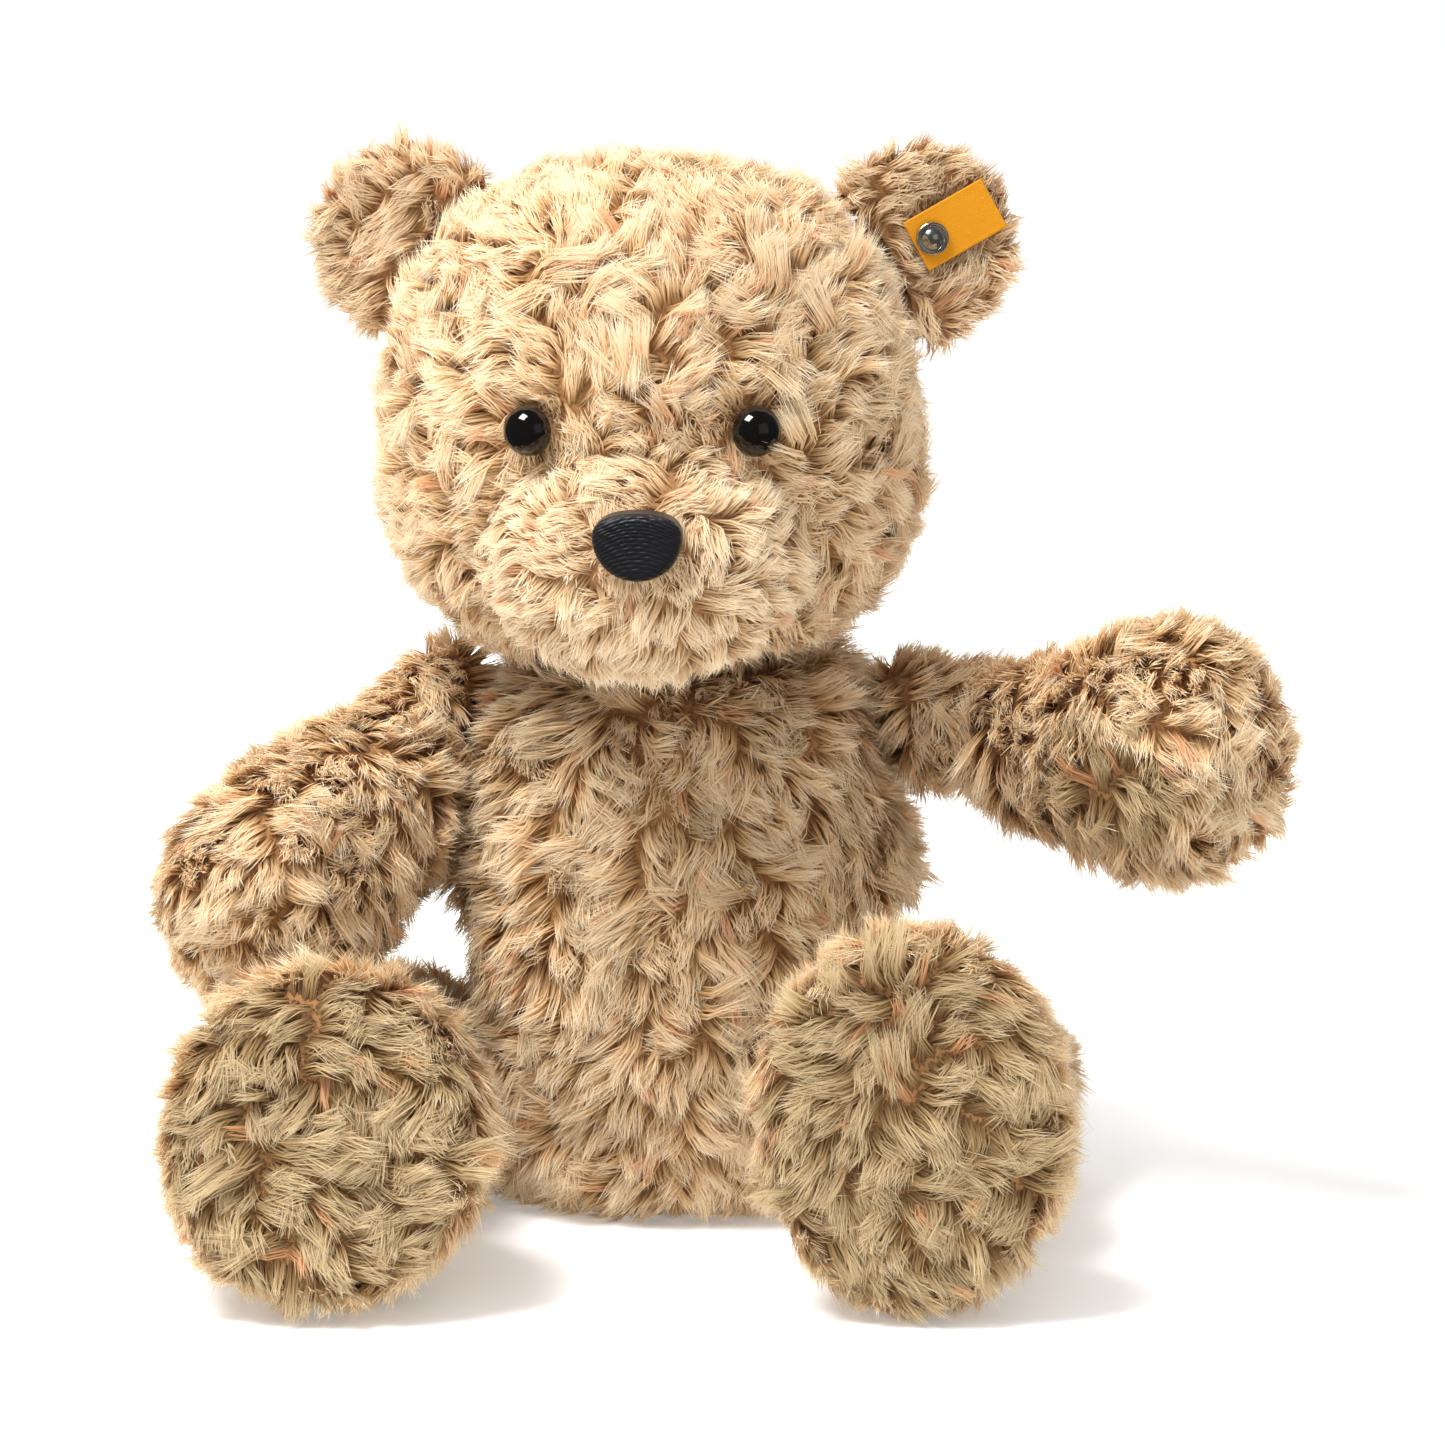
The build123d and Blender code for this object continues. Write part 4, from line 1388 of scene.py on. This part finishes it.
@dataclass
class Ear:
    """A round flat ear of two panels, sewn to the head."""

    side: Side
    around: Surroundings
    blank: HairBlank
    pile: Pile = field(
        default_factory=lambda: Pile(
            length=10.5 * MM, lean=48.0, wander=55.0, tuft=6.0 * MM, tone=0.46,
        )
    )
    voxel: float = 2.2 * MM
    inset: float = 3.4

    def build(self) -> list[bpy.types.Object]:
        """Makes the ear's skin and its front and back coats."""
        word = self.side.word
        covers = (f"ear_{word}_front", f"ear_{word}_back")
        shape = bmesh.new()
        for name in covers:
            shape.from_mesh(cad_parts[name].data)
        bmesh.ops.remove_doubles(shape, verts=shape.verts, dist=1e-6)
        piece = object_from(f"skin_ear_{word}", shape)
        shape = even_out(piece, self.voxel)
        soften(shape, times=3)
        shape.normal_update()
        for corner in shape.verts:
            corner.co -= corner.normal * self.inset * MM
        write_back(shape, piece)
        piece.data.materials.clear()
        piece.data.materials.append(GAP_SHADE_BACKING.material())
        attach(piece, Body.HEAD.value)
        centre = node_points(covers[0]).mean(0)
        skull = node_points("head_stuffing").mean(0)
        base = centre + unit((skull - centre)[None, :])[0] * 22 * MM

        def fan(points: np.ndarray, normals: np.ndarray) -> np.ndarray:
            """Outward from where the ear is sewn on."""
            return unit(points - base) + np.array([0, 0, -0.2])

        ground = Ground.of(piece, covers)
        fittings: tuple[Obstacle, ...] = ()
        if self.side is Side.LEFT:
            fittings = (Obstacle(tree_of(("ear_rivet_cap", "ear_tag")), 1.6 * MM, 4.5 * MM),)
        made = [piece]
        for number, panel in enumerate(covers):
            made.append(
                Coat(
                    f"coat_{panel}", Body.HEAD, panel, ground, number, self.pile, fan,
                    EAR_PLUSH, "ear_plush", self.around.others(Body.HEAD) + fittings,
                    121 + 10 * self.side.value + number,
                ).build(self.blank)
            )
        return [item for item in made if item]


@dataclass
class Eye:
    """A glossy domed button eye."""

    side: Side
    radius: float = 6.8 * MM
    rise: float = 6.6 * MM
    rim: float = 0.7 * MM
    spread: float = 30.3
    face_x: float = -5.0
    head_x: float = -7.5
    head_y: float = -12.0
    cheek: float = 74.0
    seat_ring: float = 72.0
    height: float = 219.5

    def seat(self) -> tuple[Vector, Vector]:
        """The middle of the eye's flat back and the way it faces."""
        turn = (self.face_x + self.side.value * self.spread - self.head_x) / self.cheek
        level = math.sqrt(1 - turn * turn)
        facing = Vector((turn, -level, 0))
        back = Vector((self.head_x, self.head_y, self.height)) + self.seat_ring * facing
        return back * MM, facing

    def build(self) -> list[bpy.types.Object]:
        """Turns the dome with its rolled rim."""
        r = self.radius
        profile = [(0.0, 0.0), (r * 0.86, 0.0), (r * 0.97, 0.25 * MM), (r, self.rim)]
        for step in range(6, 90, 6):
            angle = math.radians(step)
            profile.append((r * math.cos(angle) ** 0.92, self.rise * math.sin(angle)))
        shape = lathe(profile + [(0.0, self.rise)])
        origin, facing = self.seat()
        place(shape, origin, Vector((0, 0, 1)), facing)
        piece = object_from(f"eye_dome_{self.side.word}", shape)
        round_off(piece)
        piece.data.materials.append(EYE_GLOSS.material())
        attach(piece, Body.HEAD.value)
        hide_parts(f"eye_{self.side.word}")
        return [piece]


@dataclass
class Nose:
    """A padded nose covered with close rows of thread."""

    thread: float = 1.15 * MM
    depth: float = 0.5 * MM
    bow: float = 0.35
    shift: float = 0.8 * MM
    half_high: float = 9.6 * MM

    def build(self) -> list[bpy.types.Object]:
        """Swells the nose evenly and presses thread rows into it."""
        shape = bmesh.new()
        shape.from_mesh(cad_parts["nose_stitching"].data)
        bmesh.ops.remove_doubles(shape, verts=shape.verts, dist=1e-6)
        piece = object_from("nose_threads", shape)
        shape = even_out(piece, 0.32 * MM)
        soften(shape, times=7)
        shape.normal_update()
        middle = Vector(np.array([corner.co for corner in shape.verts]).mean(0))
        for corner in shape.verts:
            gap = corner.co - middle
            if gap.z > 0:
                corner.co.z -= 0.2 * gap.z + 0.012 * gap.x * gap.x * gap.z / self.half_high / MM
            else:
                corner.co.x -= 0.10 * gap.x * gap.z / self.half_high
            corner.co.x += self.shift
            row = (gap.z + self.bow * gap.x * gap.x / (10 * MM)) / self.thread
            wave = abs(math.sin(math.pi * row))
            twist = 0.25 * math.sin(gap.x / (0.5 * MM) + math.floor(row) * 2.1)
            facing = max(0.0, -corner.normal.y)
            corner.co += corner.normal * (self.depth * (wave**0.6 + twist * wave) * facing)
        write_back(shape, piece)
        piece.data.polygons.foreach_set("use_smooth", [True] * len(piece.data.polygons))
        piece.data.materials.clear()
        piece.data.materials.append(NOSE_THREAD.material())
        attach(piece, Body.HEAD.value)
        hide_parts("nose_stitching")
        return [piece]


@dataclass
class EarFittings:
    """The plain stud and the blank woven tag it holds in one ear."""

    stud_radius: float = 4.6 * MM
    tag_thickness: float = 0.8 * MM
    tag_rise: float = 29.0
    tag_hem: float = 2.5 * MM
    tag_wave: float = 0.10 * MM
    ribbon: float = 0.45 * MM
    ear_half: float = 7.0 * MM
    ear_turn: float = 12.0
    ear_middle: tuple[float, float, float] = (63.5, 5.0, 259.5)
    shift: float = 3.0 * MM

    def seat(self, height: float) -> tuple[Vector, Vector, Vector]:
        """Where the stud's axis meets a height above the ear's middle.

        Args:
            height: Distance in front of the ear's middle plane, in metres.

        Returns:
            The place, the way the tag runs and the way the ear faces.
        """
        turn = math.radians(self.ear_turn)
        x_way = Vector((math.cos(turn), math.sin(turn), 0))
        facing = Vector((math.sin(turn), -math.cos(turn), 0))
        y_way = facing.cross(x_way)
        origin = Vector(self.ear_middle) * MM
        origin += (x_way + y_way) * self.shift + facing * height
        slope = math.radians(self.tag_rise)
        return origin, x_way * math.cos(slope) + y_way * math.sin(slope), facing

    def stud(self) -> bpy.types.Object:
        """Turns the stud: a rolled rim round a shallow cup with a low dome in it."""
        r = self.stud_radius
        profile = [
            (0.0, 0.0), (r * 0.9, 0.0), (r * 0.985, 0.18 * MM), (r, 0.55 * MM),
            (r * 0.97, 0.95 * MM), (r * 0.88, 1.22 * MM), (r * 0.78, 1.25 * MM),
            (r * 0.70, 1.05 * MM), (r * 0.66, 0.85 * MM), (r * 0.60, 0.95 * MM),
            (r * 0.45, 1.55 * MM), (r * 0.28, 1.95 * MM), (r * 0.12, 2.12 * MM),
            (0.0, 2.15 * MM),
        ]
        shape = lathe(profile, 64)
        origin, along, facing = self.seat(self.ear_half + self.tag_thickness)
        place(shape, origin, along, facing)
        piece = object_from("ear_stud", shape)
        round_off(piece)
        piece.data.materials.append(STUD_METAL.material())
        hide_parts("ear_rivet_cap")
        return piece

    def tag(self) -> bpy.types.Object:
        """Weaves the blank tag: a thin ribbon with turned edges and a slight wave."""
        box = node_points("ear_tag")
        origin, along, facing = self.seat(self.ear_half + 0.5 * self.tag_thickness)
        y_way = facing.cross(along)
        local = (box - np.array(origin)) @ np.array([along, y_way, facing]).T
        low, high = local.min(0), local.max(0)
        high[0] -= self.tag_hem
        shape = bmesh.new()
        bmesh.ops.create_grid(shape, x_segments=40, y_segments=24, size=0.5)
        uv = shape.loops.layers.uv.new("weave")
        for face in shape.faces:
            for loop in face.loops:
                loop[uv].uv = (loop.vert.co.x + 0.5, (loop.vert.co.y + 0.5) * 0.55)
        for corner in shape.verts:
            across, up = corner.co.x, corner.co.y
            edge = max(0.0, abs(up) - 0.44) / 0.06
            corner.co = Vector(
                (
                    (low[0] + high[0]) / 2 + across * (high[0] - low[0]),
                    (low[1] + high[1]) / 2 + up * (high[1] - low[1]),
                    self.tag_wave * (math.sin(across * 5.0) + edge),
                )
            )
        bmesh.ops.solidify(shape, geom=shape.faces, thickness=self.ribbon)
        bmesh.ops.recalc_face_normals(shape, faces=shape.faces)
        place(shape, origin, along, facing)
        piece = object_from("tag_ribbon", shape)
        piece.data.materials.append(TAG_CLOTH.material())
        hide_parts("ear_tag")
        return piece

    def build(self) -> list[bpy.types.Object]:
        """Makes the stud and the tag on the bear's left ear."""
        made = [self.stud(), self.tag()]
        for piece in made:
            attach(piece, Body.HEAD.value)
        return made


@dataclass
class Hardware:
    """The hidden discs, washers and felt that stay as their CAD nodes."""

    dressing: tuple[tuple[str, Finish, str], ...] = (
        ("lock", LOCK_PLASTIC, "lock_plastic"),
        ("disc", WASHER_PLASTIC, "washer_plastic"),
        ("washer", WASHER_PLASTIC, "washer_plastic"),
        ("ear_rivet_back", STUD_METAL, "rivet_metal"),
        ("nose_felt_core", NOSE_FELT, "nose_felt"),
    )

    def build(self) -> list[bpy.types.Object]:
        """Dresses every fitting that stays as its CAD node."""
        dressed = []
        for name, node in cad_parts.items():
            found = [(finish, slot) for word, finish, slot in self.dressing if word in name]
            if node.hide_render or not found:
                continue
            finish, slot = found[0]
            node.data.materials.clear()
            node.data.materials.append(finish.material())
            dressed.append(node)
        return dressed


# ---------------------------------------------------------------- studio


@dataclass
class Studio:
    """Pale floor, soft light and the camera."""

    azimuth: float = 3.5
    elevation: float = 10.0
    distance: float = 1.8
    target: tuple[float, float, float] = (0.013, -0.030, 0.134)
    frame_width: float = 0.390
    key: float = 58.0
    fill: float = 1.2
    sky: float = 1.1
    horizon: float = 0.36

    def floor(self) -> None:
        """A wide pale floor that fades into the backdrop."""
        shape = bmesh.new()
        bmesh.ops.create_grid(shape, x_segments=2, y_segments=2, size=30.0)
        piece = object_from("studio_floor", shape)
        finish = Finish(
            "studio_floor", (0.93, 0.93, 0.93), 0.9, specular=0.1,
            fleck_scale=4.0, fleck_depth=0.01, rough_depth=0.05, glow=0.24,
        )
        piece.data.materials.append(finish.material())
        piece.visible_glossy = False

    def world(self) -> None:
        """A white surround that lights every side softly."""
        world = bpy.data.worlds.new("soft_white")
        bpy.context.scene.world = world
        world.use_nodes = True
        world.node_tree.nodes.clear()
        write = Nodes(world.node_tree)
        out = write.add("ShaderNodeOutputWorld")
        light = write.add("ShaderNodeBackground")
        way = write.add("ShaderNodeTexCoord")
        split = write.add("ShaderNodeSeparateXYZ")
        write.link(way.outputs["Generated"], split.inputs["Vector"])
        height = write.ramp(
            [(0.0, (self.horizon,) * 3), (0.35, (self.horizon,) * 3), (0.9, (1.0, 1.0, 1.0))]
        )
        write.link(split.outputs["Z"], height.inputs["Fac"])
        write.link(height.outputs["Color"], light.inputs["Color"])
        light.inputs["Strength"].default_value = self.sky
        bright = write.add("ShaderNodeBackground")
        bright.inputs["Strength"].default_value = 1.05
        bright.inputs["Color"].default_value = (1, 1, 1, 1)
        dim = write.add("ShaderNodeBackground")
        dim.inputs["Strength"].default_value = 0.10
        path = write.add("ShaderNodeLightPath")
        shine = write.add("ShaderNodeMixShader")
        write.link(path.outputs["Is Glossy Ray"], shine.inputs[0])
        write.link(light.outputs[0], shine.inputs[1])
        write.link(dim.outputs[0], shine.inputs[2])
        mix = write.add("ShaderNodeMixShader")
        write.link(path.outputs["Is Camera Ray"], mix.inputs[0])
        write.link(shine.outputs[0], mix.inputs[1])
        write.link(bright.outputs[0], mix.inputs[2])
        write.link(mix.outputs[0], out.inputs["Surface"])

    def lamp(
        self, name: str, place_at: tuple[float, float, float], size: float, power: float,
    ) -> None:
        """Hangs one soft square lamp aimed at the bear.

        Args:
            name: The lamp's name.
            place_at: Where it hangs, in metres.
            size: The length of its side, in metres.
            power: Its power, in watts.
        """
        data = bpy.data.lights.new(name, "AREA")
        data.shape = "SQUARE"
        data.size = size
        data.energy = power
        lamp = bpy.data.objects.new(name, data)
        bpy.context.scene.collection.objects.link(lamp)
        lamp.location = place_at
        aim = Vector(self.target) - Vector(place_at)
        lamp.rotation_euler = aim.to_track_quat("-Z", "Y").to_euler()

    def camera(self) -> None:
        """Places the camera."""
        data = bpy.data.cameras.new("camera")
        data.sensor_width = 36.0
        data.lens = 36.0 * self.distance / self.frame_width
        data.clip_end = 100.0
        camera = bpy.data.objects.new("camera", data)
        bpy.context.scene.collection.objects.link(camera)
        a, e = math.radians(self.azimuth), math.radians(self.elevation)
        back = Vector((math.sin(a) * math.cos(e), -math.cos(a) * math.cos(e), math.sin(e)))
        camera.location = Vector(self.target) + back * self.distance
        camera.rotation_euler = (-back).to_track_quat("-Z", "Y").to_euler()
        bpy.context.scene.camera = camera

    def build(self) -> None:
        """Sets up the whole studio."""
        self.floor()
        self.world()
        self.lamp("key", (-0.78, -0.70, 1.95), 0.9, self.key)
        self.lamp("fill", (1.2, -1.3, 0.6), 1.2, self.fill)
        self.camera()
        bpy.context.scene.view_settings.view_transform = "Standard"


def main() -> None:
    """Builds the bear piece by piece and reports each."""
    logging.basicConfig(level=logging.INFO, format="%(name)s: %(message)s")
    around = Surroundings()
    blank = HairBlank()
    groups = [
        Torso(around, blank),
        Head(around, blank),
        Ear(Side.LEFT, around, blank),
        Ear(Side.RIGHT, around, blank),
        Arm(Side.LEFT, around, blank),
        Arm(Side.RIGHT, around, blank),
        Leg(Side.LEFT, around, blank),
        Leg(Side.RIGHT, around, blank),
        Eye(Side.LEFT),
        Eye(Side.RIGHT),
        Nose(),
        EarFittings(),
        Hardware(),
    ]
    for group in groups:
        for piece in group.build():
            log.info("%s: %s", type(group).__name__, piece.name)
    Studio().build()


if __name__ == "__main__":
    main()
